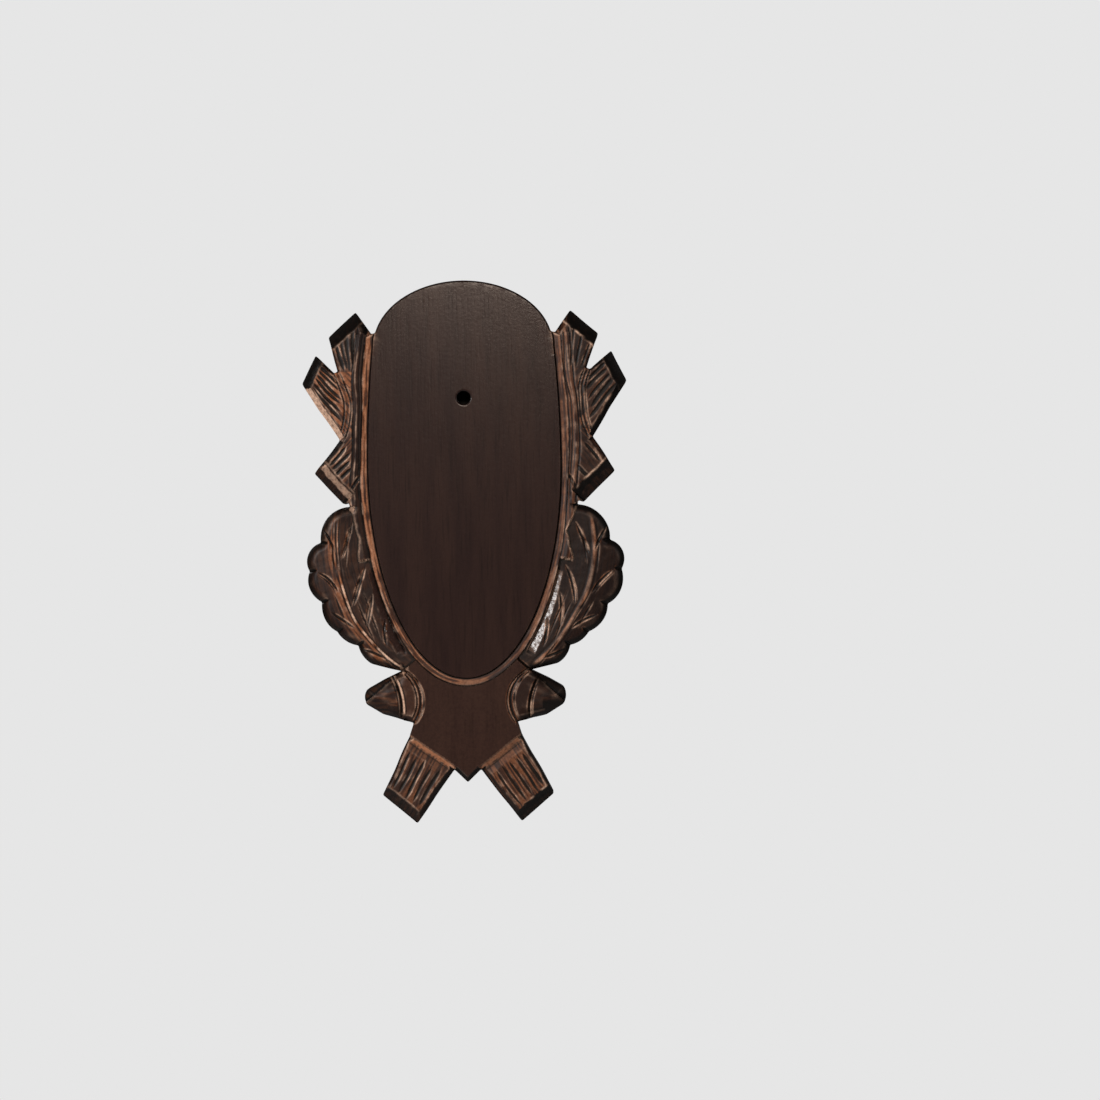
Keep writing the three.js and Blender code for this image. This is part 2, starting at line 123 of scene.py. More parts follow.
# Outline and carved lines in shares: across from the field's edge to the board's side, and up
# from 1 at the crown over 0 at the widest line and -1 below the field to -2 at the feet.
NOTCH = (0.05, 0.716)
STUB_1 = {
    "peak": (0.368, 0.838),
    "outer": (0.629, 0.705),
    "shoulder": (0.576, 0.652),
    "foot": (0.458, 0.517),
}
STUB_2 = {"root": (0.506, 0.509), "peak": (0.798, 0.61), "outer": (1, 0.451), "foot": (0.461, 0.146)}
STUB_3 = {"outer": (0.82, -0.032), "foot": (0.381, -0.178), "heel": (0.302, -0.169)}
LEAF_TOP = (0.286, -0.19)
LOBES = (
    ((0.651, -0.249), (0.756, -0.358)),
    ((0.93, -0.409), (0.92, -0.494)),
    ((0.922, -0.583), (0.782, -0.649)),
    ((0.767, -0.719), (0.645, -0.784)),
    ((0.587, -0.826), (0.494, -0.848)),
    ((0.496, -0.89), (0.458, -0.934)),
)
LEAF_FOOT = (0.381, -0.949)
CROTCH = (0.291, -0.967)
ACORN = {
    "top": (0.51, -1.012),
    "tip_top": (0.604, -1.072),
    "tip": (0.621, -1.125),
    "tip_low": (0.604, -1.185),
    "low": (0.5, -1.256),
    "armpit": (0.318, -1.307),
}
LEG = {"hip": (0.344, -1.4), "outer": (0.528, -1.805), "foot": (0.322, -2), "inner": (0.081, -1.632)}
POINT = (0, -1.72)
RIB = ((0.262, -0.952), (0.477, -0.67), (0.486, -0.244))
VEINS = (
    ((0.476, -0.43), (0.402, -0.364), (0.278, -0.273)),
    ((0.419, -0.653), (0.349, -0.576), (0.2, -0.479)),
    ((0.326, -0.749), (0.27, -0.679), (0.202, -0.604)),
    ((0.245, -0.851), (0.208, -0.78), (0.153, -0.719)),
    ((0.562, -0.404), (0.611, -0.35), (0.693, -0.299)),
    ((0.576, -0.597), (0.668, -0.545), (0.795, -0.501)),
    ((0.467, -0.766), (0.57, -0.731), (0.689, -0.7)),
    ((0.316, -0.912), (0.384, -0.886), (0.473, -0.865)),
)
STUB_2_BASE = ((0.463, 0.503), (0.342, 0.335), (0.444, 0.146))
STUB_3_BASE = ((0.342, -0.165), (0.23, -0.1), (0.12, -0.043))
SHIELD_SIDE = ((0.27, -0.963), (0.269, -1.132), (0.31, -1.3))
CUP_RIM = ((0.396, -0.985), (0.399, -1.136), (0.396, -1.28))
LEG_STOP = ((0.37, -1.36), (0.067, -1.611))

# Lines side by side at the foot of the middle stub and along the shield: shift to the side,
# width, depth, how bright the arrises are, and how soaked, or else how rubbed, the bottom is.
STUB_2_BORDER = (
    (0, 2.2, 0.7, 0.5, (0, 0.75)),
    (-1.5, 1.0, 0.5, 0.5, (1, None)),
    (1.4, 1.0, 0.6, 0.4, (1, None)),
)
SHIELD_BORDER = (
    (0.6, 2.8, 1.0, 0.5, (0, 0.9)),
    (-0.9, 0.9, 0.5, 0.5, (0.9, None)),
    (2.2, 1.0, 0.5, 0.3, (1, None)),
)

# Fine gouge lines along the pale facet, painted as a highlight, under the left middle stub:
# inset and width.
FACET_LINES = ((0.8, 0.6), (1.7, 0.5), (2.8, 0.9))

# Bark of each branch end: inner ends of its first and last gouge line and their outer ends, then
# how many lines, their width, their depth and how bright their arrises are painted, wear and a
# painted highlight, stronger on the left, the lamp's side. Pairs are for the left and the right
# half.
BARK_ENDS = {
    "stub_1": (((0.24, 0.5), (0.37, 0.52)), ((0.345, 0.77), (0.53, 0.67))),
    "stub_2": (((0.41, 0.44), (0.4, 0.24)), ((0.73, 0.55), (0.88, 0.45))),
    "stub_3": (((0.33, 0.12), (0.24, 0.0)), ((0.6, 0.005), (0.46, -0.07))),
    "leg": (((0.338, -1.5), (0.165, -1.625)), ((0.465, -1.76), (0.315, -1.89))),
}
BARK_LINES = {
    "stub_1": ((4, 3), 1.8, 0.3, (1.1, 0.6)),
    "stub_2": ((6, 5), 1.9, 0.4, (1.6, 0.6)),
    "stub_3": ((4, 2), 1.9, 0.35, (1.1, 0.8)),
    "leg": ((5, 5), 1.8, 0.35, (1.0, 0.5)),
}

# How the hand-cut outline strays from the drawing, in millimetres: place on the right-hand
# half, then the shift to the right of both halves, and the rise of the right half, by which
# the left half sinks.
STRAYS = (
    (57.3, 43.9, -0.4, 0.5),
    (58.9, 43.3, -1.1, 0.2),
    (68.2, 51.9, 0.2, 0.5),
    (75.0, 38.0, 0.4, 0.0),
    (58.3, 12.4, 1.1, 0.3),
    (55.5, -17.4, -0.6, 0.0),
    (52.4, -18.6, -0.6, 0.0),
    (66.0, -63.6, -0.3, -1.2),
    (64.6, -70.5, -1.2, -1.2),
    (58.1, -76.8, -2.1, -0.8),
    (54.3, -80.9, -1.6, -0.2),
    (48.9, -83.1, -0.6, -0.4),
    (46.9, -88.8, -1.2, -0.5),
    (45.6, -103.0, -0.9, 0.7),
    (45.4, -110.4, -0.8, -0.6),
    (39.6, -114.4, -1.5, -0.6),
    (23.8, -118.6, -0.7, 0.0),
    (25.7, -124.8, -1.1, 0.0),
    (24.1, -165.0, 0.6, 0.3),
    (50.4, 25.0, 0.9, 0.0),
    (20.1, -108.0, -0.8, 0.0),
)

# How far a stray reaches, the weight of the drawing as it is, and how far outside the field the
# strays come to their full strength.
STRAY_REACH = 6.0
STRAY_HOLD = 0.15
STRAY_START = 6.0

# How warm each place shows where the stain is rubbed: left half, right half, 0 to 1.
RUBBED = {
    "band": (0.9, 0.45),
    "stub_1": (0.3, 0.08),
    "stub_2": (0.75, 0.2),
    "stub_3": (0.3, 0.15),
    "stem": (0.1, 0.35),
    "leaf": (0.15, 0.05),
    "acorn": (0.25, 0.1),
    "leg": (0.35, 0.45),
    "stop": (1.0, 0.62),
    "shield": (0.05, 0.05),
}
# How much paler the shield is made, with the pale colour of the arrises.
SHIELD_PALER = 0.008

# How dark each place is, left and right, 0 to 1.
SOAKED = {
    "stub_1": (0.3, 0.6),
    "stub_2": (0.0, 0.4),
    "stub_3": (0.15, 0.45),
    "stem": (0.5, 0.2),
    "leaf": (0.5, 0.6),
    "acorn": (0.3, 0.5),
    "leg": (0.1, 0.1),
}

# Lines along the stem: distance from the field and width, then for the left and the right half
# the depth, how bright it is and how rubbed.
STEM_LINES = (
    (4.9, 1.0, (0.1, 0.3), (0.0, 0.1), (0.0, 0.8)),
    (6.6, 0.9, (-0.15, -0.1), (0.28, 0.1), (0.1, 0.9)),
    (8.3, 1.1, (0.15, 0.3), (0.0, 0.1), (0.1, 0.6)),
)

# Outer limit of the stem over the leaf, by height: heights, then distances from the field.
STEM_LIMIT_LEFT = ((-42, -38, -32, -22, -18, 0), (9.4, 8.7, 7.2, 7.8, 8.5, 8.5))
STEM_LIMIT_RIGHT = ((-43, -41, -36, -30, -22, -18, 0), (10, 9.6, 7.0, 5.0, 7.6, 8.5, 8.5))

# Facet beside the band at the foot of the leaf: its inner line, its widths and its slope, and
# how bright it is painted on the left and on the right, a painted highlight.
SCOOP = np.array([(42.4, -47.0), (38.5, -61.7), (34.3, -74.2), (27.8, -87.0)])
SCOOP_WIDTH = (3.0, 3.8)
SCOOP_SLOPE = 0.285
SCOOP_HIGHLIGHT = (0.0, 0.12)

# Veins that are cut twice, side by side.
DOUBLED_VEINS = (0, 1, 2, 5)

# Light strokes of the gouge in the foot of the leaf, from start to end, in millimetres.
LEAF_STROKES = (
    ((47.0, -58.0), (38.5, -80.0)),
    ((49.5, -62.0), (41.0, -82.0)),
    ((58.0, -57.0), (50.0, -74.0)),
    ((60.5, -60.0), (53.0, -75.0)),
    ((62.0, -34.0), (60.5, -50.0)),
    ((54.0, -30.0), (55.5, -46.0)),
    ((44.0, -80.0), (34.0, -92.0)),
)

# Gouge cuts: the share of its length in which a cut comes to full depth, and where it starts
# from. Two cuts meet in an arris that is rounded by SOFTENED.
FADE = 0.2
FADE_START = 0.1
SOFTENED = 0.12
SEED = 7

# Mesh: step along the outline, place of the lines inside the field's edge, rounds that ease the
# outline's corners, rings of close points beside the carving, and how many steps of the lattice
# lie between two points on flat wood.
LINE_STEP = 0.4
FIELD_INSET = -0.5
CORNER_ROUNDS = 3
RINGS_BESIDE = 3
OPEN_STEPS = 7

# Wear and painted highlights read from the form: how far a point looks at its neighbours, and
# the rise over them that is fully worn and painted bright.
LONGEST_LOOK = 0.8
WEAR_AND_HIGHLIGHT_RISE = 0.12
WORN_ROUNDS = 6

# Pattern of the finish, in millimetres: distance between pores, bands of grain, clouds of stain
# and specks, and how wide pores and bands are for their length. Oak pores are about 0.3 mm wide
# and some 6 mm long, and are drawn near twice as wide, because finer ones don't show. Then how
# deep the lacquer sinks over a pore and round a speck, and the roller's marks on the floor.
PORE_SPACING = 1.111
GRAIN_SPACING = 9.09
CLOUD_SPACING = 30.3
SPECK_SPACING = 1.613
PORE_SQUEEZE = 0.06
GRAIN_SQUEEZE = 0.14
PORE_SINK = 0.05
SPECK_SINK = 0.09
ROLLER_SPACING = 2.5

# Marks that the wood's finish reads from the mesh, painted highlights and painted shade among
# them, and how soaked the sides and the back are.
MARKS = ("rubbed", "bright", "soaked_and_shade", "streak", "worked")
SIDE_SOAKED = 0.5
BACK_SOAKED = 0.35

# Rows of the screw hole's wall: how much wider than the hole, how deep and how soaked.
HOLE_ROWS = ((0.25, 0.15, 1.0), (0, HOLE_EASE, 1.0), (0, BOARD_THICKNESS, BACK_SOAKED))

# Stage, in metres: what the camera looks at, the floor, and a small dark card right behind the
# screw hole, painted shade that stands for the dark inside of the hole, so that the backdrop
# doesn't shine through it.
AIM = Vector((0.039, -0.018, -0.0396))
FLOOR_DROP = 0.42
FLOOR_RADIUS = 0.75
SHADE_CARD_RADIUS = 0.0034
SHADE_CARD_GAP = 0.0004
SHADE_CARD_COLOUR = "#0c0b0a"
ROOM_COLOUR = "#f4f2ef"

# Lamps: place and target in metres, width and height, share of the key's power, and colour.
LAMPS = {
    "key": ((-0.66, -0.97, 0.24), (0, 0, -0.04), (0.18, 0.18), 1.0, "#ffffff"),
    "top": ((0.02, -1.35, 0.345), (0, 0, 0), (0.24, 0.14), 0.45, "#ffead8"),
    "fill": ((1.1, -0.75, 0.3), (0, 0, -0.05), (0.5, 0.8), 0.3, "#ffffff"),
    "back": ((-0.85, 1.0, 0.5), (0, 0, -0.04), (0.6, 0.6), 0.8, "#ffffff"),
}


# Drawing


def field_half(y):
    """Half width of the oval field at height y: an ellipse below its widest line, a parabola
    along its sides and a flatter ellipse over them."""
    half, cap = FIELD_WIDTH / 2, CAP_WIDTH / 2
    y = np.clip(np.asarray(y, float), -FIELD_DROP, FIELD_RISE)
    low = half * np.sqrt(np.clip(1 - (y / FIELD_DROP) ** 2, 0, 1))
    side = half - (half - cap) * (y / CAP_FOOT) ** 2
    top = cap * np.sqrt(np.clip(1 - ((y - CAP_FOOT) / CAP_HEIGHT) ** 2, 0, 1))
    return np.where(y > CAP_FOOT, top, np.where(y > 0, side, low))


def at(share):
    """A point from its shares: up is scaled piecewise, across runs from the field to the side."""
    across, up = share
    y = up * FIELD_RISE if up >= 0 else up * FIELD_DROP
    if up < -1:
        y = -FIELD_DROP + (up + 1) * FOOT_DROP
    edge = float(field_half(y))
    return np.array([edge + across * (HALF - edge), y])


def points(shares):
    """A line through several points, each from its shares."""
    return np.array([at(share) for share in shares])


def arc_circle(line):
    """Centre and radius of the circle through three points."""
    (ax, ay), (bx, by), (cx, cy) = line
    d = 2 * (ax * (by - cy) + bx * (cy - ay) + cx * (ay - by))
    a, b, c = ax * ax + ay * ay, bx * bx + by * by, cx * cx + cy * cy
    x = (a * (by - cy) + b * (cy - ay) + c * (ay - by)) / d
    y = (a * (cx - bx) + b * (ax - cx) + c * (bx - ax)) / d
    return np.array([x, y]), math.hypot(ax - x, ay - y)


def arc(line, steps=16):
    """Round line from the first of three points through the second to the third."""
    centre, radius = arc_circle(line)
    p, m, q = (math.atan2(y - centre[1], x - centre[0]) for x, y in line)
    full = 2 * math.pi
    turn = (q - p) % full
    if (m - p) % full > turn:
        turn -= full
    angle = p + turn * np.linspace(0, 1, steps + 1)
    return centre + radius * np.stack([np.cos(angle), np.sin(angle)], 1)


def longer(line, before, after=None):
    """A line with its first and last stretch carried on by a length each."""
    after = before if after is None else after
    first, last = line[0] - line[1], line[-1] - line[-2]
    line = line.copy()
    line[0] += first / np.hypot(*first) * before
    line[-1] += last / np.hypot(*last) * after
    return line


def resampled(line, step):
    """A line cut into equal steps no longer than step, with its corners kept."""
    a, b = line[:-1], line[1:]
    counts = np.maximum(1, np.ceil(np.hypot(*(b - a).T) / step)).astype(int)
    which = np.repeat(np.arange(len(a)), counts)
    first = np.repeat(np.cumsum(counts) - counts, counts)
    t = (np.arange(counts.sum()) - first) / counts[which]
    return np.vstack([a[which] + (b - a)[which] * t[:, None], line[-1:]])


def to_line(x, y, line):
    """Each point's distance from a line, its share of the line's length and its side, +1 left."""
    a, run = line[:-1], np.diff(line, axis=0)
    length = np.hypot(*run.T)
    px, py = x[:, None] - a[:, 0], y[:, None] - a[:, 1]
    t = np.clip((px * run[:, 0] + py * run[:, 1]) / length**2, 0, 1)
    gap = np.hypot(px - t * run[:, 0], py - t * run[:, 1])
    row, k = np.arange(len(x)), gap.argmin(axis=1)
    start = np.concatenate([[0], np.cumsum(length)])
    share = (start[k] + t[row, k] * length[k]) / start[-1]
    turn = run[k, 0] * py[row, k] - run[k, 1] * px[row, k]
    return gap[row, k], share, np.where(turn < 0, -1, 1)


def inside(x, y, loop):
    """Even-odd test of points against a closed loop: points are sorted by height, so that each
    side of the loop looks only at the points between its ends."""
    order = np.argsort(y, axis=None, kind="stable")
    xs, ys = x.ravel()[order], y.ravel()[order]
    hit = np.zeros(len(order), bool)
    for (ax, ay), (bx, by) in zip(loop, np.roll(loop, -1, axis=0)):
        low, high = np.searchsorted(ys, (min(ay, by), max(ay, by)))
        if low < high:
            part = slice(low, high)
            hit[part] ^= xs[part] < ax + (ys[part] - ay) * (bx - ax) / (by - ay)
    back = np.empty(len(order), bool)
    back[order] = hit
    return back.reshape(x.shape)


def smooth_step(x):
    """Eases from 0 to 1 while x runs from 0 to 1: three squares less two cubes."""
    x = np.clip(x, 0, 1)
    return x * x * (3 - 2 * x)


def ripple(u, v, size_u, size_v, seed):
    """Smooth noise from -1 to 1: random values on a lattice of size_u by size_v millimetres,
    blended between its corners. Where a caller shifts u or v by the side, by tens or hundreds of
    millimetres, the left half reads another part of the noise than the right one."""
    table = np.random.default_rng(seed).uniform(-1, 1, (64, 64))
    a, b = u / size_u, v / size_v
    i, j = np.floor(a).astype(int), np.floor(b).astype(int)
    f, g = smooth_step(a - i), smooth_step(b - j)

    def corner(m, n):
        return table[(i + m) % 64, (j + n) % 64]

    low = corner(0, 0) * (1 - f) + corner(1, 0) * f
    high = corner(0, 1) * (1 - f) + corner(1, 1) * f
    return low * (1 - g) + high * g


def field_edge(step=0.25):
    """Right-hand edge of the field from the crown to its lower end, with outward normals."""
    quarter = math.pi / 2
    top = np.linspace(quarter, 0, 400)[:-1]
    crown = np.stack([CAP_WIDTH / 2 * np.cos(top), CAP_FOOT + CAP_HEIGHT * np.sin(top)], 1)
    y = np.linspace(CAP_FOOT, 0, 300)[:-1]
    side = np.stack([field_half(y), y], 1)
    low = np.linspace(0, quarter, 600)
    lower = np.stack([FIELD_WIDTH / 2 * np.cos(low), -FIELD_DROP * np.sin(low)], 1)
    line = np.vstack([crown, side, lower])
    gone = np.concatenate([[0], np.cumsum(np.hypot(*np.diff(line, axis=0).T))])
    run = np.linspace(0, gone[-1], int(gone[-1] / step))
    line = np.stack([np.interp(run, gone, line[:, 0]), np.interp(run, gone, line[:, 1])], 1)
    tangent = np.gradient(line, axis=0)
    tangent /= np.hypot(*tangent.T)[:, None]
    normal = np.stack([-tangent[:, 1], tangent[:, 0]], 1)
    normal[0], normal[-1] = (0, 1), (0, -1)
    return line, normal, run


EDGE, EDGE_NORMAL, EDGE_RUN = field_edge()
NOTCH_Y = float(at(NOTCH)[1])
NOTCH_X = float(field_half(NOTCH_Y))


def from_field(x, y):
    """Distance out from the field's edge, height of the nearest edge point and the length run
    along the edge. Beside the first stub, above the notch, the edge carries on straight up."""
    nearest = np.empty(len(x), int)
    square = (EDGE**2).sum(1)
    block = 8000
    for start in range(0, len(x), block):
        part = slice(start, start + block)
        away = square - 2 * (np.outer(x[part], EDGE[:, 0]) + np.outer(y[part], EDGE[:, 1]))
        nearest[part] = away.argmin(axis=1)
    q, n = EDGE[nearest], EDGE_NORMAL[nearest]
    offset = (x - q[:, 0]) * n[:, 0] + (y - q[:, 1]) * n[:, 1]
    foot, run = q[:, 1], EDGE_RUN[nearest]
    above = (y > NOTCH_Y) & (x > NOTCH_X)
    notch_run = float(np.interp(-NOTCH_Y, -EDGE[:, 1], EDGE_RUN))
    offset = np.where(above, x - NOTCH_X, offset)
    foot = np.where(above, y, foot)
    return offset, foot, np.where(above, notch_run - (y - NOTCH_Y), run)


def lobe_lines():
    """One arc for each lobe of the leaf, from nick to nick through its outermost point."""
    nick, lines = LEAF_TOP, []
    for mid, end in LOBES:
        lines.append(arc(points([nick, mid, end]), 14))
        nick = end
    return lines


def right_side():
    """Right-hand outline from the crown down to the point between the legs."""
    crown = EDGE[EDGE[:, 1] > NOTCH_Y][::4]
    corners = [at(NOTCH)]
    corners += [at(p) for p in (*STUB_1.values(), *STUB_2.values(), *STUB_3.values())]
    lobes = np.vstack([line[i > 0 :] for i, line in enumerate(lobe_lines())])
    tip = arc(points([ACORN["tip_top"], ACORN["tip"], ACORN["tip_low"]]), 8)
    low = [ACORN["low"], ACORN["armpit"], *LEG.values(), POINT]
    return np.vstack(
        [crown, corners, lobes, points([LEAF_FOOT, CROTCH, ACORN["top"]]), tip, points(low)]
    )


def mirrored(line):
    """The left-hand copy of a right-hand line."""
    return line * (-1, 1)


def whole_outline():
    """The right-hand outline and its mirrored copy, as one closed loop."""
    right = right_side()
    right[0] = (0, FIELD_RISE)
    return np.vstack([right, mirrored(right[-2:0:-1])])


def leaf_level(x, y):
    """Leaf surface: a low crown along the rib, falling away on both sides of it."""
    centre, radius = arc_circle(points(RIB))
    beyond = np.hypot(x - centre[0], y - centre[1]) - radius
    slope = np.where(beyond > 0, LEAF_OUTER_SLOPE, LEAF_INNER_SLOPE)
    return LEAF_DEPTH + slope * np.abs(beyond)


# Carving


class Carving:
    """The carving over a set of points: the depth under the face in millimetres, and from 0 to 1
    how rubbed the stain is there, how bright it is painted, by wear and by painted highlights,
    and how dark, by soaked stain and by painted shade. Both halves are worked on the right-hand
    drawing; what differs by hand is drawn for one half at a time."""

    def __init__(self, x, y, tool_marks):
        self.side = np.where(x < 0, LEFT, RIGHT)
        self.x, self.y = np.abs(x), y
        self.offset, self.foot, self.run = from_field(self.x, self.y)
        self.depth = np.zeros_like(y)
        self.rubbed = np.zeros_like(y)
        self.bright = np.zeros_like(y)
        self.soaked_and_shade = np.zeros_like(y)
        self.streak = np.zeros_like(y)
        self.scooped = np.zeros_like(y)
        self.worked = np.zeros_like(y)
        self.tool_marks = tool_marks
        self.chance = np.random.default_rng(SEED)

    def near(self, line, reach, half=None):
        """Numbers of the points in a box round a line, on both halves or on one."""
        low, high = line.min(axis=0) - reach, line.max(axis=0) + reach
        pick = (self.x > low[0]) & (self.x < high[0]) & (self.y > low[1]) & (self.y < high[1])
        if half is not None:
            pick &= self.side == half
        return np.flatnonzero(pick)

    def lower(self, pick, depth, softened=SOFTENED):
        """Takes the deeper of two surfaces, with the arris between them rounded a little."""
        old = self.depth[pick]
        apart = np.clip(softened - np.abs(depth - old), 0, None)
        self.depth[pick] = np.maximum(depth, old) + apart**2 / (4 * softened)
        return depth > old

    def patches(self, pick, share=0.55):
        """Where the finish is rubbed and painted highlights show, and where not, in patches of a few
        millimetres.
        """
        x = self.x[pick] + 500.0 * self.side[pick]
        return smooth_step(share + 0.9 * ripple(x, self.y[pick], 3.2, 3.8, 72))

    def gouge(self, line, width, deep, half=None, bright=0.5, fade=FADE, core=(0.75, None)):
        """Round-bottomed cut: deep times (fade minus the square of the distance from the line
        in half widths), added under the wood that lies there. Its arrises are rubbed brown, and the
        one that faces the lamp is painted bright in places, a painted highlight. Core says how
        soaked, or else how rubbed, the bottom is."""
        pick = self.near(line, width, half)
        gap, share, left = to_line(self.x[pick], self.y[pick], line)
        ends = np.clip(np.minimum(share, 1 - share) / fade + FADE_START, 0, 1)
        across = 2 * gap / width
        cut = np.clip(ends - across**2, 0, None)
        self.depth[pick] += deep * cut
        run = (line[-1] - line[0]) / np.hypot(*(line[-1] - line[0]))
        # Painted highlight: lit is near 1 on the arris that faces the lamp and near 0 on the other.
        lit = 0.5 + 0.5 * np.tanh(-3 * run[1] * left * (2 * self.side[pick] - 1))
        arris = np.exp(-(((across - np.sqrt(ends)) * width / 2 / 0.25) ** 2)) * np.sqrt(ends)
        soaked_and_shade, rubbed = core
        inside_cut = np.clip(2.5 * cut, 0, 1)
        self.soaked_and_shade[pick] = np.maximum(self.soaked_and_shade[pick] * (1 - arris), soaked_and_shade * inside_cut)
        if rubbed is not None:
            self.rubbed[pick] += (rubbed - self.rubbed[pick]) * inside_cut
        warm = min(1.0, 1.6 * bright) * arris * self.patches(pick, 0.7)
        self.rubbed[pick] = np.maximum(self.rubbed[pick], warm)
        shine = bright * arris * self.patches(pick, 0.45) * lit
        self.bright[pick] = np.maximum(self.bright[pick], shine)

    def bead(self, line, width, high, half=None, bright=0.5, rubbed=0.8, fade=0.1, shade=0.8):
        """Raised line left between two cuts: high times (1 minus the square of the distance in
        half widths) stands over the wood, rubbed on top and in patches painted bright, wear and a
        painted highlight, with painted shade dark on both sides."""
        pick = self.near(line, 1.5 * width, half)
        gap, share, _ = to_line(self.x[pick], self.y[pick], line)
        ends = np.clip(np.minimum(share, 1 - share) / fade, 0, 1)
        across = 2 * gap / width
        top = np.clip(1 - across**2, 0, None) * ends
        # Painted shade in the hollows on both sides of the bead.
        beside = np.exp(-(((across - 1.6) / 0.5) ** 2)) * ends
        self.depth[pick] += high * (0.6 * beside - top)
        self.soaked_and_shade[pick] = np.maximum(self.soaked_and_shade[pick] * (1 - top), shade * beside)
        self.rubbed[pick] = np.maximum(self.rubbed[pick], rubbed * np.clip(1.5 * top, 0, 1))
        shine = bright * np.clip(1.5 * top - 0.2, 0, 1) * self.patches(pick, 0.7)
        self.bright[pick] = np.maximum(self.bright[pick] * (1 - beside), shine)

    def half(self, pick, value):
        """A value for both halves, or a pair for the left and the right one, at each point."""
        return np.broadcast_to(np.asarray(value, float), (2,))[self.side[pick]]

    def paring(
        self, line, facet, level, before=0.0, after=None, dish=0.0, soaked_and_shade=0.0, rubbed=None,
        bright=0.0, crease=0.3, ragged=0.0,
    ):
        """Plane cut along an edge: starts a width inside the edge and drops from there. A dish
        hollows it, and ragged moves its inner line to and fro."""
        after = before if after is None else after
        width, drop = facet
        pick = self.near(line, 1.2 * width + max(before, after))
        x, y = self.x[pick], self.y[pick]
        gap, share, left = to_line(x, y, longer(line, before, after))
        shift = ripple(x + 300 * self.side[pick], y, 1.9, 1.9, 73)
        t = gap / width * (1 + ragged * shift)
        depth = level + drop * (1 - t) + dish * 4 * np.clip(t * (1 - t), 0, None)
        held = (share > 0) & (share < 1) & (left < 0) | (gap < 0.4)
        depth = np.where(held & (t < 1.4), depth, 0)
        on = self.lower(pick, depth)
        on &= depth > 0
        self.soaked_and_shade[pick] = np.where(on, self.half(pick, soaked_and_shade), self.soaked_and_shade[pick])
        self.bright[pick] = np.where(on, self.half(pick, bright), self.bright[pick])
        if rubbed is not None:
            self.rubbed[pick] = np.where(on, self.half(pick, rubbed), self.rubbed[pick])
        arris = np.exp(-(((t - 1) * width / 0.4) ** 2)) * (held & (depth > 0))
        arris *= self.patches(pick) * self.half(pick, crease)
        self.bright[pick] = np.maximum(self.bright[pick], arris)
        self.soaked_and_shade[pick] *= 1 - 0.8 * arris

    def roll(self, line, width, drop, soaked_and_shade):
        """Rounds the wood down towards an edge: drop times the square of how near the edge is."""
        pick = self.near(line, width)
        gap, _, left = to_line(self.x[pick], self.y[pick], line)
        near = np.clip(1 - gap / width, 0, 1) * ((left < 0) | (gap < 0.5))
        self.depth[pick] += drop * near**2
        dark = self.half(pick, soaked_and_shade) * smooth_step(1.6 * near)
        self.soaked_and_shade[pick] = np.maximum(self.soaked_and_shade[pick], dark)

    def tint(self, pick, name):
        """Gives wood the colour of its place on the left and on the right."""
        self.rubbed[pick] = self.half(pick, RUBBED[name])
        self.soaked_and_shade[pick] = self.half(pick, SOAKED.get(name, 0))

    def grain_along(self, pick, start, end, length, width, seed):
        """Streaks of a length and a width that run from start to end, for the colour of bark."""
        run = np.array(end) - start
        run = run / np.hypot(*run)
        u = self.x[pick] * run[0] + self.y[pick] * run[1] + 400 * self.side[pick]
        v = self.y[pick] * run[0] - self.x[pick] * run[1] + 400 * self.side[pick]
        self.streak[pick] = ripple(u, v, length, width, seed)


def stem_limit(wood, pick):
    """How far the stem reaches out from the field, half by half: it narrows over the leaf and
    flares again at its cut end."""
    foot = wood.foot[pick]
    left = np.interp(foot, *STEM_LIMIT_LEFT)
    right = np.interp(foot, *STEM_LIMIT_RIGHT)
    wave = 0.25 * ripple(foot, wood.side[pick] * 50.0, 3.0, 9.0, 5)
    return np.where(wood.side[pick] == 0, left, right) + wave * (foot < at(LEAF_TOP)[1])


def leaf_end():
    """Height of the field's edge point nearest to the crotch, where the leaf's border ends."""
    return EDGE[np.hypot(*(EDGE - at(CROTCH)).T).argmin(), 1]


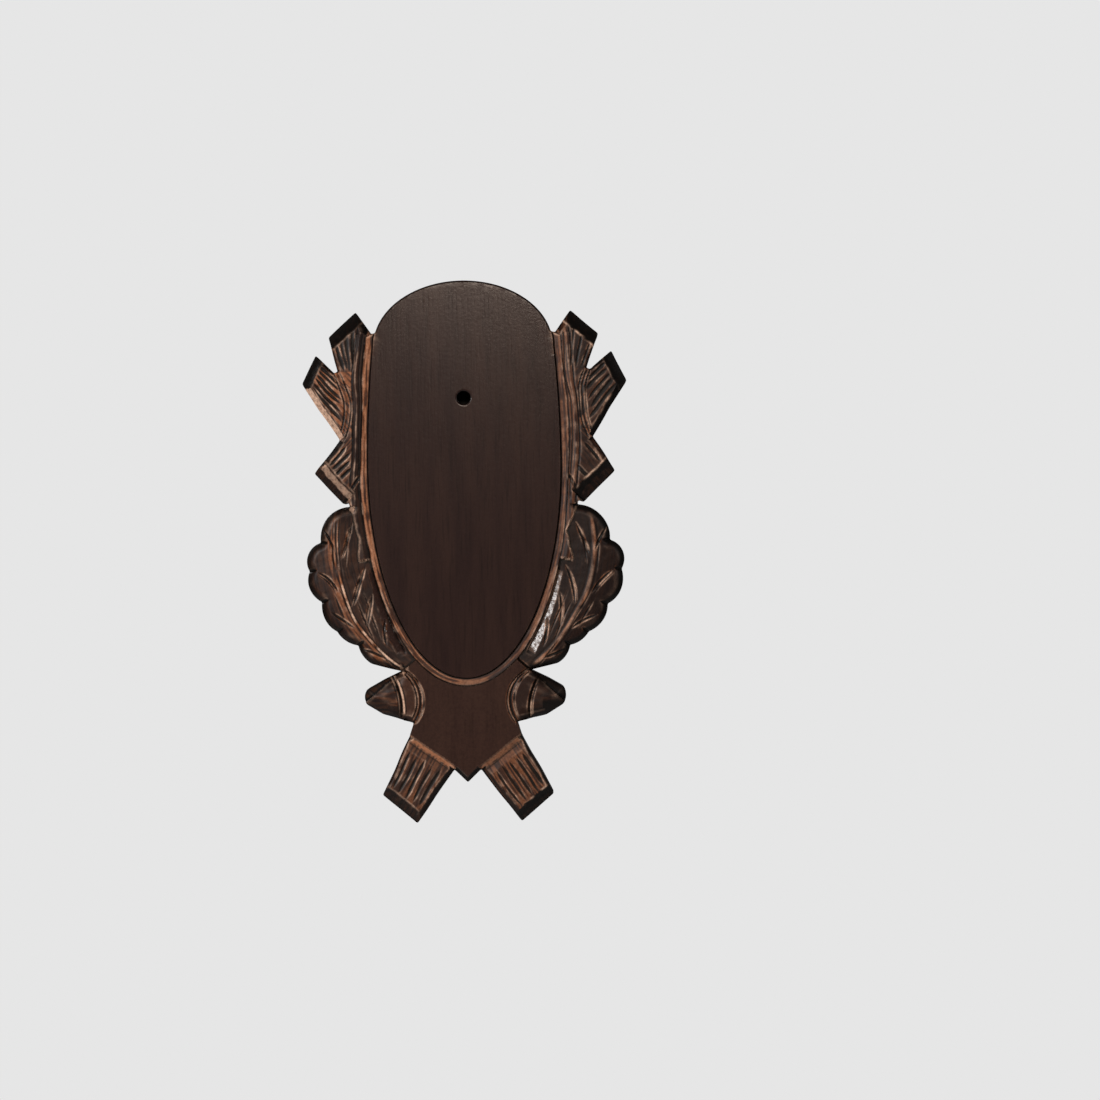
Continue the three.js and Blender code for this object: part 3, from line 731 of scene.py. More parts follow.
def carve_border(wood):
    """Stem beside the groove, bark of the stubs outside it, and the leaf below them."""
    end = leaf_end()
    zone = (wood.offset >= BORDER_START) & (wood.foot <= FIELD_RISE) & (wood.foot >= end)
    above = (wood.y > NOTCH_Y) & (wood.x > NOTCH_X)
    zone &= (wood.foot <= NOTCH_Y) | above
    pick = np.flatnonzero(zone)
    x, y, offset, foot = (a[pick] for a in (wood.x, wood.y, wood.offset, wood.foot))
    side = wood.side[pick]
    leaf = foot < at(LEAF_TOP)[1]
    stem = foot > STEM_END * FIELD_DROP + 0.8 * ripple(offset + 90 * side, offset, 0.9, 1.0, 3)
    outer = np.where(leaf, leaf_level(x, y), BARK_DEPTH)
    ridge = np.interp(offset, STEM_OFFSETS, STEM_DEPTHS)
    ledge = np.interp(offset, STEM_OFFSETS, (*STEM_DEPTHS[:2], STEM_LEDGE_DEPTH))
    limit = stem_limit(wood, pick)
    on_stem = stem & (offset < limit)
    wood.lower(pick, np.where(on_stem, np.where(leaf, ledge, ridge), outer))
    low_stub, high_stub = at(STUB_2["foot"])[1], at(STUB_1["foot"])[1]
    bark = ~leaf & ~on_stem
    for name, where in (
        ("stem", on_stem),
        ("leaf", leaf & ~on_stem),
        ("stub_1", bark & (y > high_stub)),
        ("stub_2", bark & (y <= high_stub) & (y > low_stub)),
        ("stub_3", bark & (y <= low_stub)),
    ):
        wood.tint(pick[where], name)
    streak = ripple(wood.run[pick] + 300 * side, offset, 11.0, 0.6, 11)
    wood.streak[pick] = np.where(leaf & ~on_stem, wood.streak[pick], streak)
    edge = np.exp(-(((offset - limit) / 0.35) ** 2)) * leaf * stem
    edge = np.maximum(edge, np.exp(-(((foot - STEM_END * FIELD_DROP) / 0.45) ** 2)) * (offset < limit))
    wood.bright[pick] = np.maximum(wood.bright[pick], wood.half(pick, (0.35, 0.4)) * edge)
    wood.rubbed[pick] = np.maximum(wood.rubbed[pick], wood.half(pick, (0.5, 1.0)) * edge)
    # Painted shade on the leaf just outside the stem's edge, at the foot of its step.
    shade = np.exp(-(((offset - limit - 0.7) / 0.5) ** 2)) * leaf * stem
    wood.soaked_and_shade[pick] = np.maximum(wood.soaked_and_shade[pick], 0.9 * shade)


def streak_leaf(wood):
    """Streaks of the leaf follow its rib: the angle round the rib's circle gives the length,
    the distance from that circle the width. Beside the rib the left leaf is made warm brown,
    partly rubbed stain and partly a painted sheen on the lamp's side."""
    on_leaf = (wood.foot < at(LEAF_TOP)[1]) & (wood.offset > BORDER_START) & (wood.depth > 0.5)
    pick = np.flatnonzero(on_leaf & (wood.foot > leaf_end()))
    centre, radius = arc_circle(points(RIB))
    dx, dy = wood.x[pick] - centre[0], wood.y[pick] - centre[1]
    beyond = np.hypot(dx, dy) - radius
    along = np.unwrap(np.arctan2(dy, dx)[None, :], axis=0)[0] * radius
    streak = ripple(along + 333 * wood.side[pick], beyond + 100, 7.0, 0.55, 12)
    on_stem = (wood.foot[pick] > STEM_END * FIELD_DROP) & (wood.offset[pick] < stem_limit(wood, pick))
    wood.streak[pick] = np.where(on_stem, wood.streak[pick], streak)
    # Warm brown beside the left rib: rubbed stain and a painted sheen.
    warm = np.where(on_stem, 0, np.exp(-(((beyond - 2.6) / 2.6) ** 2)) * wood.half(pick, (0.7, 0.05)))
    wood.rubbed[pick] = np.maximum(wood.rubbed[pick], warm)
    wood.soaked_and_shade[pick] *= 1 - warm


def carve_acorns(wood):
    """Pockets for the cup and, deeper, the nut, outside the side of the shield."""
    shield = np.flatnonzero((wood.offset > GROOVE_OFFSETS[-1]) & (wood.foot <= leaf_end()))
    wood.tint(shield, "shield")
    wood.bright[shield] = SHIELD_PALER
    far_x = HALF + 1
    low, high = at(ACORN["armpit"])[1] - 1, at(CROTCH)[1] + 0.2
    for line, level in ((SHIELD_SIDE, CUP_DEPTH), (CUP_RIM, NUT_DEPTH)):
        edge = longer(arc(points(line)), 1)
        loop = np.vstack([edge, [(far_x, low), (far_x, high)]])
        pick = np.flatnonzero(inside(wood.x, wood.y, loop) & (wood.foot <= -80))
        wood.lower(pick, np.full(len(pick), level))
        wood.tint(pick, "acorn")
        wood.bright[pick] = 0
    wood.grain_along(pick, at(CUP_RIM[1]), at(ACORN["tip"]), 4.0, 0.8, 21)


def carve_legs(wood):
    """A sloping stop under the shield and the bark of the log beyond it."""
    stop = points(LEG_STOP)
    run = (stop[1] - stop[0]) / np.hypot(*(stop[1] - stop[0]))
    beyond = (wood.y - stop[0, 1]) * run[0] - (wood.x - stop[0, 0]) * run[1]
    pick = np.flatnonzero((beyond > 0) & (wood.y < at(LEG_STOP[0])[1] + 6))
    beyond = beyond[pick]
    inner = to_line(wood.x[pick], wood.y[pick], points([LEG["inner"], POINT]))
    keep = ~((inner[2] < 0) & (wood.x[pick] < at(LEG["inner"])[0]))
    pick, beyond = pick[keep], beyond[keep]
    wood.lower(pick, np.interp(beyond, STOP_OFFSETS, STOP_DEPTHS))
    wood.tint(pick, "leg")
    on_stop = beyond < STOP_OFFSETS[1]
    wood.tint(pick[on_stop], "stop")
    wood.grain_along(pick, at(LEG["inner"]), at(LEG["foot"]), 6.0, 0.7, 22)
    stop = pick[on_stop]
    wood.bright[stop] = 0.1
    specks = ripple(wood.x[stop] + 300 * wood.side[stop], wood.y[stop], 1.8, 1.8, 23)
    wood.streak[stop] = 0.45 + 0.7 * specks
    edge = np.exp(-(((beyond - 0.25) / 0.35) ** 2))
    wood.soaked_and_shade[pick] = np.maximum(wood.soaked_and_shade[pick], edge)


def bark_lines(inner, outer, count):
    """Lines spaced evenly between a first and a last one, from their inner to their outer ends."""
    a, b, c, d = (at(p) for p in (*inner, *outer))
    t = np.linspace(0, 1, count)[:, None]
    return np.stack([a + (b - a) * t, c + (d - c) * t], 1)


def cut_bark(wood):
    """Gouge lines side by side along each branch end, hand spaced, each half its own."""
    for name, (inner, outer) in BARK_ENDS.items():
        counts, width, deep, lit = BARK_LINES[name]
        beside = wood.near(bark_lines(inner, outer, 4).reshape(-1, 2), 6)
        on_leg = name == "leg"
        if on_leg:
            beside = beside[wood.depth[beside] > LEG_DEPTH - 0.2]
        else:
            beside = beside[wood.offset[beside] > STEM_OFFSETS[-1]]
        mid = bark_lines(inner, outer, 3)[1]
        wood.grain_along(beside, mid[0], mid[1], 9.0 if on_leg else 7.0, 0.6, 31 + len(name))
        for half, count in enumerate(counts):
            for line in bark_lines(inner, outer, count):
                early, late = wood.chance.uniform(0, 0.12), wood.chance.uniform(0, 0.05)
                shorter = line + np.array([[early], [-late]]) * (line[1] - line[0])
                shaken = shorter + wood.chance.uniform(-0.4, 0.4, (2, 2))
                bow = shaken.mean(axis=0) + wood.chance.uniform(-0.3, 0.3, 2)
                path = np.array([shaken[0], bow, shaken[1]])
                wide = width * wood.chance.uniform(0.75, 1.2)
                deeper = deep * wood.chance.uniform(0.5, 1.15)
                bright = wood.chance.uniform(0.1, 1.0) * lit[half]
                wood.gouge(path, wide, deeper, half, bright=bright, core=(0.9, None))


def cut_stem_lines(wood):
    """Fine lines that follow the stem between the groove and the stubs; over the leaf the stem
    is left smooth."""
    zone = smooth_step((wood.foot - at(LEAF_TOP)[1] - 1) / 5) * (wood.foot < NOTCH_Y + 8)
    for offset, width, deep, bright, rubbed in STEM_LINES:
        deep, bright, rubbed = (np.array(pair)[wood.side] for pair in (deep, bright, rubbed))
        drift = 0.5 * ripple(wood.run, wood.side * 40.0 + offset, 14.0, 1.0, 41)
        across = (wood.offset - offset - drift) / (width / 2)
        bump = np.clip(1 - across**2, 0, None) * zone
        patchy = smooth_step(0.45 + ripple(wood.run, wood.side * 30.0, 7.0, 1.0, int(offset * 10)))
        wood.depth += deep * bump
        wood.soaked_and_shade = np.maximum(wood.soaked_and_shade, 0.8 * bump * (deep > 0))
        lit = np.where(deep > 0, np.exp(-(((across - 1) / 0.5) ** 2)) * zone, bump)
        wood.rubbed = np.maximum(wood.rubbed, rubbed * lit)
        wood.bright = np.maximum(wood.bright, bright * lit * patchy)


def cut_leaf(wood):
    """Rib and veins of the leaf, some of the veins doubled, and the nicks between its lobes. The
    left rib is a thin worn line that parts in two near its tip, the right one wide and dull."""
    rib = arc(points(RIB), 24)
    wood.bead(rib[:19], width=1.1, high=0.22, half=LEFT, bright=0.95, rubbed=0.9, fade=0.05)
    for shift, width in ((0.9, 0.9), (-0.7, 0.8)):
        part = rib[15:] + (shift, 0)
        wood.bead(part, width, high=0.25, half=LEFT, bright=0.2, rubbed=0.9, fade=0.2)
    wood.bead(rib, width=2.2, high=0.12, half=RIGHT, bright=0.15, rubbed=0.6, fade=0.05, shade=0.7)
    for half in (LEFT, RIGHT):
        for i, vein in enumerate(VEINS):
            line = arc(points(vein) + wood.chance.uniform(-0.35, 0.35, (3, 2)), 10)
            width = 1.5 * wood.chance.uniform(0.85, 1.15)
            wood.gouge(line, width, deep=0.7, half=half, bright=0.85, fade=0.3)
            if i in DOUBLED_VEINS:
                twin = line + np.array([0.75, -0.65]) * wood.chance.uniform(1.1, 1.6)
                wood.gouge(twin, width=0.9, deep=0.3, half=half, bright=0.5, fade=0.4)
    for stroke in LEAF_STROKES:
        for half in (LEFT, RIGHT):
            path = np.array(stroke) + wood.chance.uniform(-0.5, 0.5, (2, 2))
            wood.gouge(
                path, width=1.1, deep=0.25, half=half, bright=0.25, fade=0.45, core=(0.8, None)
            )
    cut_scoop(wood)
    centre, _ = arc_circle(points(RIB))
    for _, nick in LOBES[:-1]:
        end = at(nick)
        run = (centre - end) / np.hypot(*(centre - end)) * NICK_LENGTH
        wood.gouge(np.array([end - run, end, end + run]), width=1.9, deep=0.8, bright=0.0)


def cut_scoop(wood):
    """Flat facet beside the band at the foot of the leaf, which turns to the light: it rises
    away from the band at an even slope and grows wider as it goes down. On the right it is
    painted a little bright, a painted highlight. Dull dots break its gloss."""
    pick = wood.near(SCOOP, 4)
    gap, share, left = to_line(wood.x[pick], wood.y[pick], SCOOP)
    out = np.where(left > 0, gap, -gap)
    width = SCOOP_WIDTH[0] + (SCOOP_WIDTH[1] - SCOOP_WIDTH[0]) * share
    ends = np.clip(np.minimum(share, 1 - share) / 0.08, 0, 1)
    rise = np.clip(width - out, 0, width) * (out > -0.5) * smooth_step((out + 0.5) / 0.5)
    wood.depth[pick] += SCOOP_SLOPE * rise * ends
    on = (rise > 0) & (out > 0) & (out < width) & (ends > 0.5)
    for mark in (wood.soaked_and_shade, wood.rubbed):
        mark[pick] = np.where(on, 0, mark[pick])
    # Painted highlight on the facet, on the right half only.
    wood.bright[pick] = np.where(on, wood.half(pick, SCOOP_HIGHLIGHT), wood.bright[pick])
    dots = ripple(wood.x[pick], wood.y[pick], 0.8, 0.9, 75) > 0.35
    wood.scooped[pick] = on * np.where(dots, 0.3, 1)


def cut_borders(wood):
    """Lines round the feet of the stubs, the sides of the shield and the rim of the cup. At the
    leaf's foot the right half is cut through to the field, and the left one runs on in a bead."""
    base = longer(arc(points(STUB_2_BASE)), 1)
    for shift, width, deep, bright, core in STUB_2_BORDER:
        wood.gouge(base + (shift, 0), width, deep, bright=bright, fade=0.08, core=core)
    third = longer(arc(points(STUB_3_BASE)), 2.6, 0)
    wood.gouge(third, width=2.0, deep=0.6, bright=0.3, fade=0.15, core=(0.8, None))
    side = longer(arc(points(SHIELD_SIDE)), 1)
    for shift, width, deep, bright, core in SHIELD_BORDER:
        wood.gouge(side + (shift, 0), width, deep, bright=bright, fade=0.05, core=core)
    rim = longer(arc(points(CUP_RIM)), 1)
    wood.gouge(rim, width=1.7, deep=0.9, bright=0.9, fade=0.08, core=(0.9, None))
    wood.gouge(rim + (1.3, 0), width=0.9, deep=0.3, bright=0.6, fade=0.2)
    edge = EDGE[np.hypot(*(EDGE - at(CROTCH)).T).argmin()]
    tip = at(CROTCH)
    cut = np.array([tip + (tip - edge) * 0.2, tip, tip + (edge - tip) * 0.7])
    wood.gouge(cut, width=1.3, deep=0.9, half=RIGHT, bright=0.15, fade=0.1, core=(1, None))
    sweep = np.array([(1.0, 2.0), (-0.6, -2.2), (-0.6, -3.0)])
    sweep += (at(RIB[0]), at(RIB[0]), at(SHIELD_SIDE[0]))
    wood.bead(sweep, width=1.5, high=0.25, half=LEFT, bright=0.2, rubbed=1.0, fade=0.2)
    wood.bead(rim - (1.2, 0), width=1.0, high=0.2, half=LEFT, bright=1.0, rubbed=0.9, fade=0.2)


def saw(wood, a, b, width, level=BARK_DEPTH, after=2.6, soaked_and_shade=0.97):
    """Sawn end from a to b: a wide, steep facet, a little dished, with a worn inner arris."""
    wood.paring(
        points([a, b]), (width, SAWN_DROP), level, before=2.6, after=after,
        dish=SAWN_DISH, soaked_and_shade=soaked_and_shade, rubbed=0.15, crease=(0.3, 0.9), ragged=0.05,
    )


def pare_stubs(wood):
    """Sides and sawn ends of the three stubs. The facet under the left middle one is rubbed warm
    and painted pale, a painted highlight on the lamp's side, with fine gouge lines along it; on
    the right the same facet is painted black, a painted shade."""
    one, two, three = STUB_1, STUB_2, STUB_3
    wood.paring(points([NOTCH, one["peak"]]), SIDE, BARK_DEPTH, soaked_and_shade=(0.95, 0.5), ragged=0.1)
    wood.paring(points([one["outer"], one["shoulder"], one["foot"]]), EASED, BARK_DEPTH, soaked_and_shade=0.3)
    wood.paring(points([two["root"], two["peak"]]), EASED, BARK_DEPTH, soaked_and_shade=0.9)
    lower = points([two["outer"], two["foot"]])
    # Painted light: this facet is painted pale on the left, a painted highlight, and black on the
    # right, a painted shade.
    light = {"soaked_and_shade": (0.0, 1.0), "rubbed": (1, 0), "bright": (0.75, 0)}
    wood.paring(lower, SIDE, BARK_DEPTH, **light, ragged=0.1)
    inward = (lower[1] - lower[0])[::-1] / np.hypot(*(lower[1] - lower[0])) * (1, -1)
    for inset, width in FACET_LINES:
        line = lower + inward * inset
        wood.gouge(line, width, deep=0.15, half=LEFT, bright=0.6, fade=0.05, core=(0.8, None))
    third = points([two["foot"], three["outer"]])
    wood.paring(third, SIDE, BARK_DEPTH, soaked_and_shade=(0.9, 0.3), ragged=0.1)
    saw(wood, one["peak"], one["outer"], END_1)
    saw(wood, two["peak"], two["outer"], END_2)
    saw(wood, three["outer"], three["foot"], END_3, after=0, soaked_and_shade=(0.6, 0.72))


def roll_leaf(wood):
    """Rim of the leaf's lobes, rolled down to the outline."""
    lobes = [line[i > 0 :] for i, line in enumerate(lobe_lines())]
    wood.roll(np.vstack([*lobes, points([LEAF_FOOT, CROTCH])]), *LOBE_RIM, soaked_and_shade=(0.9, 1.0))


def round_acorn(wood):
    """Pared sides of the cup, and the nut rounded off beyond them, with painted shade on its under
    side, stronger on the right.
    """
    upper = points([CROTCH, ACORN["top"], ACORN["tip_top"]])
    lower = points([ACORN["tip_low"], ACORN["low"], ACORN["armpit"]])
    wood.paring(upper[:2], CUP_SIDE, CUP_DEPTH, soaked_and_shade=0.7, crease=0.1)
    wood.paring(lower[1:], CUP_SIDE, CUP_DEPTH, soaked_and_shade=0.8, crease=0.1)
    over = np.array([upper[0] + (upper[1] - upper[0]) * CUP_SHARE, upper[1], upper[2]])
    under = np.array([lower[0], lower[1], lower[2] + (lower[1] - lower[2]) * CUP_SHARE])
    tip = arc(points([ACORN["tip_top"], ACORN["tip"], ACORN["tip_low"]]), 8)
    wood.roll(np.vstack([over[:-1], tip, under[1:]]), *NUT_ROUND, soaked_and_shade=(0.75, 0.9))
    top = tip[len(tip) // 2, 1] + 1
    on_nut = (wood.depth > NUT_DEPTH) & (wood.x > over[0, 0] + 1.5)
    pick = np.flatnonzero(on_nut & (wood.y < top) & (wood.y > lower[2, 1]))
    # Painted shade: the nut darkens towards its under side, more on the right.
    shade = smooth_step((top - wood.y[pick]) / 4) * wood.half(pick, (0.5, 0.97))
    wood.soaked_and_shade[pick] = np.maximum(wood.soaked_and_shade[pick], shade)


def pare_leg(wood):
    """Sides and sawn end of the foot, and the pared edge of the point beside it."""
    hip = points([LEG["hip"], LEG["outer"]])
    wood.paring(hip, EASED, LEG_DEPTH, soaked_and_shade=(0.5, 0.8), rubbed=(0.3, 0.2))
    saw(wood, LEG["outer"], LEG["foot"], LEG_END, LEG_DEPTH, soaked_and_shade=(0.65, 0.8))
    inner = points([LEG["foot"], LEG["inner"]])
    wood.paring(inner, SIDE, LEG_DEPTH, soaked_and_shade=(0.97, 0.7), crease=0.1)
    wood.paring(points([LEG["inner"], POINT]), POINT_EDGE, 0, soaked_and_shade=1.0, crease=0.1)


def mark_ends(wood):
    """Soaked marks on the sawn ends of the third stub and the foot, and a painted reflection on the
    third stub's left end.
    """
    third = points([STUB_3["outer"], STUB_3["foot"]])
    soak_end(wood, third, END_3, bow=5)
    paint_end_reflection(wood, third, END_3)
    soak_end(wood, points([LEG["outer"], LEG["foot"]]), LEG_END, bow=2)


def sawn_end(wood, edge, width, half):
    """Points near a sawn edge on one half: their distance from it, moved to and fro by the saw's
    wander, their share of its length, and whether they lie on the cut."""
    pick = wood.near(edge, width, half)
    gap, share, left = to_line(wood.x[pick], wood.y[pick], edge)
    gap = gap + 0.4 * ripple(wood.x[pick] + 300 * half, wood.y[pick], 2.2, 2.2, 74)
    return pick, gap, share, (wood.depth[pick] > BARK_DEPTH) & (left < 0)


def soak_end(wood, edge, width, bow):
    """Black band of soaked end grain along the inner line of a right-hand sawn end, bowed inwards
    at its ends by the square of the distance from its middle."""
    pick, gap, share, on = sawn_end(wood, edge, width, RIGHT)
    band = smooth_step((gap - width + 3.4 + bow * (share - 0.5) ** 2) / 0.6) * on * (gap < width)
    wood.soaked_and_shade[pick] = np.maximum(wood.soaked_and_shade[pick], band)


def paint_end_reflection(wood, edge, width):
    """Painted reflection: a pale strip along a left-hand sawn end, between two distances from its
    edge.
    """
    pick, gap, share, on = sawn_end(wood, edge, width, LEFT)
    strip = smooth_step((gap - 3.2) / 0.5) * (1 - smooth_step((gap - 5.9) / 0.5))
    strip *= on & (share > 0.02)
    # Painted reflection on the sawn end.
    wood.bright[pick] = np.maximum(wood.bright[pick], 0.42 * strip)
    wood.soaked_and_shade[pick] *= 1 - strip


def cut_groove(wood):
    """Groove and light band round the field, with the scraper's lines along the band. Its warmth
    runs from the left value to the right one across the foot of the field."""
    on = (wood.offset > 0) & (wood.offset < GROOVE_OFFSETS[-1] + SOFTENED)
    on &= wood.foot <= NOTCH_Y + BARK_DEPTH
    pick = np.flatnonzero(on)
    offset, run, side = wood.offset[pick], wood.run[pick], wood.side[pick]
    run = np.where(side == LEFT, 2 * EDGE_RUN[-1] - run, run)
    rightness = smooth_step(0.5 + wood.x[pick] * (2 * side - 1) / BAND_BLEND)
    depth = np.interp(offset, GROOVE_OFFSETS, GROOVE_DEPTHS)
    lines = 0.8 * ripple(run, offset, 14.0, 0.45, 51) + 0.4 * ripple(run, offset, 4.0, 0.8, 52)
    band = smooth_step((offset - 0.75) / 0.4) * (1 - smooth_step((offset - 3.4) / 0.5))
    depth += 0.05 * lines * band
    wood.lower(pick, depth, 0.08)
    warm = np.interp(rightness, (0, 1), RUBBED["band"])
    wood.rubbed[pick] = warm * band + wood.rubbed[pick] * (1 - band)
    wood.streak[pick] = 1.6 * lines
    floor = np.exp(-(((offset - 0.35) / 0.35) ** 2)) + 0.7 * np.exp(-(((offset - 3.9) / 0.3) ** 2))
    wood.soaked_and_shade[pick] = np.maximum(wood.soaked_and_shade[pick] * (1 - band), floor)
    # Painted highlight along the band's lines, stronger on the left.
    band_highlight = np.interp(rightness, (0, 1), BAND_HIGHLIGHT) * band * np.clip(lines, 0, 1)
    wood.bright[pick] = np.maximum(wood.bright[pick] * (1 - band), band_highlight)


def ease_crown(wood):
    """The crown's front edge is eased: a small slope that starts inside the edge."""
    inner = -wood.offset
    on = (wood.foot > NOTCH_Y) & (inner < CROWN_EASE) & (inner >= -0.5) & (wood.x < NOTCH_X + 1)
    pick = np.flatnonzero(on)
    wood.lower(pick, CROWN_EASE - np.abs(inner[pick]))
    wood.soaked_and_shade[pick] = np.maximum(wood.soaked_and_shade[pick], 0.4)


def add_tool_marks(wood):
    """Shallow scallops of the gouge over the carved wood, none on the flat field. Carved wood
    takes less gloss than the field and the scooped facet."""
    carved = smooth_step(wood.depth / 0.4)
    shift = 500.0 * wood.side
    scallops = ripple(wood.x + shift, wood.y, 3.4, 2.6, 61) * 0.05
    scallops += ripple(wood.x + shift, wood.y, 1.3, 1.1, 62) * 0.015
    wood.depth += wood.tool_marks * carved * scallops
    wood.depth = np.maximum(wood.depth, 0)
    wood.worked = carved * (1 - wood.scooped)


def carve(x, y, tool_marks):
    """Every cut over a set of points, in the order in which they are made."""
    wood = Carving(x, y, tool_marks)
    carve_border(wood)
    carve_acorns(wood)
    carve_legs(wood)
    cut_stem_lines(wood)
    cut_bark(wood)
    streak_leaf(wood)
    cut_leaf(wood)
    cut_borders(wood)
    pare_stubs(wood)
    roll_leaf(wood)
    round_acorn(wood)
    pare_leg(wood)
    mark_ends(wood)
    cut_groove(wood)
    ease_crown(wood)
    add_tool_marks(wood)
    return wood


# Mesh


def groove_lines(step):
    """The groove's lines round the field, from notch to notch over the lower end."""
    keep = EDGE[:, 1] <= NOTCH_Y
    line, normal = EDGE[keep], EDGE_NORMAL[keep]
    both = np.vstack([line, mirrored(line[-2::-1])])
    out = np.vstack([normal, mirrored(normal[-2::-1])])
    stride = max(1, round(step / 0.25))
    kept = np.arange(0, len(both), stride)
    offsets = (2 * FIELD_INSET, FIELD_INSET, *GROOVE_OFFSETS)
    return [both[kept] + out[kept] * offset for offset in offsets]


def crown_lines():
    """Lines inside the crown's edge: where its ease starts, and a little further in."""
    high = EDGE[:, 1] > NOTCH_Y + 0.5
    lines = []
    for inset in (CROWN_EASE, 2 * CROWN_EASE):
        line = (EDGE[high] - EDGE_NORMAL[high] * inset)[::3]
        lines.append(np.vstack([line[::-1], mirrored(line[1:])]))
    return lines


def ring(radius, centre_y, sides=ROUND_SIDES, run=0.0):
    """Closed circle, or a long slot where run moves its halves apart."""
    angle = np.linspace(0, 2 * math.pi, sides, endpoint=False)
    shift = np.where(np.sin(angle) >= 0, run, -run)
    return np.stack([radius * np.cos(angle), centre_y + shift + radius * np.sin(angle)], 1)


def lattice(pitch, outline):
    """Points of a triangular lattice inside the outline, as rows and columns."""
    low, high = outline.min(axis=0), outline.max(axis=0)
    rows = np.arange(low[1], high[1], pitch * math.sqrt(0.75))
    columns = np.arange(low[0], high[0], pitch)
    x, y = np.meshgrid(columns, rows)
    x = x + (np.arange(len(rows)) % 2)[:, None] * pitch / 2
    return x, y, inside(x, y, outline)


def spread(mask):
    """A mask of lattice points grown by one point all round."""
    wide = mask | np.roll(mask, 1, axis=0) | np.roll(mask, -1, axis=0)
    return wide | np.roll(wide, 1, axis=1) | np.roll(wide, -1, axis=1)


def clear_of(x, y, kept, lines, pitch):
    """Drops lattice points that lie close to the points of the crisp lines."""
    rows_step = pitch * math.sqrt(0.75)
    near = np.vstack(lines)
    row = (near[:, 1] - y[0, 0]) / rows_step
    for up in (-1, 0, 1, 2):
        r = np.floor(row).astype(int) + up
        r = np.clip(r, 0, len(y) - 1)
        col = (near[:, 0] - x[r, 0]) / pitch
        for over in (-1, 0, 1, 2):
            c = np.clip(np.floor(col).astype(int) + over, 0, x.shape[1] - 1)
            close = np.hypot(x[r, c] - near[:, 0], y[r, c] - near[:, 1]) < 0.55 * pitch
            kept[r[close], c[close]] = False
    return kept


def triangulated(loops, open_lines, free):
    """Delaunay triangles over points, with every loop and line kept as edges."""
    parts, edges, start = [], [], 0
    for closed, group in ((True, loops), (False, open_lines)):
        for line in group:
            n = len(line)
            a = np.arange(n if closed else n - 1)
            edges.append(np.stack([a + start, (a + 1) % n + start], 1))
            parts.append(line)
            start += n
    parts.append(free)
    flat = np.vstack(parts)
    spots = [Vector(p) for p in flat.tolist()]
    spots, _, faces, *_ = delaunay_2d_cdt(spots, np.vstack(edges).tolist(), [], 0, 1e-5, False)
    return np.array([tuple(p) for p in spots]), np.array(faces)


def strayed(flat):
    """The drawing moved to where the hand-cut board lies: a blend of the measured strays, by
    nearness, that starts a little way outside the field."""
    x, y, side = np.abs(flat[:, 0]), flat[:, 1], np.where(flat[:, 0] < 0, -1, 1)
    strays = np.array(STRAYS)
    away = (x[:, None] - strays[:, 0]) ** 2 + (y[:, None] - strays[:, 1]) ** 2
    weight = np.exp(-away / (2 * STRAY_REACH**2))
    total = weight.sum(axis=1) + STRAY_HOLD
    start = smooth_step(from_field(x, y)[0] / STRAY_START) * smooth_step(x / 10)
    shift = (weight @ strays[:, 2]) / total * start
    rise = (weight @ strays[:, 3]) / total * start
    return flat + np.stack([shift, rise * side], 1)


def board_mesh(pitch, tool_marks):
    """Front of the board: depth as a function of the two drawing coordinates, on a lattice that
    is close where the wood is carved and wide where it is flat, joined to the crisp lines."""
    drawn = whole_outline()
    outline = resampled(np.vstack([drawn, drawn[:1]]), LINE_STEP)[:-1]
    for _ in range(CORNER_ROUNDS):
        outline = (outline + np.roll(outline, 1, axis=0) + np.roll(outline, -1, axis=0)) / 3
    hole = ring(HOLE_RADIUS + HOLE_EASE, HOLE_HEIGHT)
    halo = ring(HOLE_RADIUS + 2 * HOLE_EASE, HOLE_HEIGHT)
    inner, inset, *grooves = groove_lines(0.5)
    eased, within = crown_lines()
    loops = [outline, hole, halo]
    loops += [np.vstack([inset, eased[::-1]]), np.vstack([inner, within[::-1]])]
    x, y, kept = lattice(pitch, outline)
    work = np.flatnonzero(kept)
    offset = from_field(np.abs(x.flat[work]), y.flat[work])[0]
    outside = work[offset > GROOVE_OFFSETS[2]]
    first = carve(x.flat[outside], y.flat[outside], tool_marks=0.0)
    carved = np.zeros(x.shape, bool)
    carved.flat[outside[first.depth > 1e-4]] = True
    for _ in range(RINGS_BESIDE):
        carved = spread(carved)
    row, column = np.indices(x.shape)
    kept &= carved | ((row % OPEN_STEPS == 0) & (column % OPEN_STEPS == 0))
    in_wall = (offset > -GROOVE_WIDTH / 2) & (offset < GROOVE_OFFSETS[2])
    kept.flat[work[in_wall]] = False
    kept = clear_of(x, y, kept, [*loops, *grooves], pitch)
    flat, faces = triangulated(loops, grooves, np.stack([x[kept], y[kept]], 1))
    middle = flat[faces].mean(axis=1)
    faces = faces[inside(*middle.T, outline) & ~inside(*middle.T, hole)]
    used, faces = np.unique(faces, return_inverse=True)
    faces = faces.reshape(-1, 3)
    flat = flat[used]
    return flat, faces, carve(flat[:, 0], flat[:, 1], tool_marks), outline


def edge_table(faces):
    """Directed edges of triangles, and which of them have no partner."""
    a = faces[:, [0, 1, 2]].ravel()
    b = faces[:, [1, 2, 0]].ravel()
    size = faces.max() + 1
    key, back = a * size + b, b * size + a
    lone = ~np.isin(key, back)
    return a, b, lone


def neighbour_mean(a, b, values, rounds):
    """Each point's value blended half and half with the mean of its neighbours, some rounds."""
    count = np.bincount(a, minlength=len(values)) + np.bincount(b, minlength=len(values))
    for _ in range(rounds):
        total = np.bincount(a, values[b], len(values)) + np.bincount(b, values[a], len(values))
        values = 0.5 * values + 0.5 * total / np.maximum(count, 1)
    return values


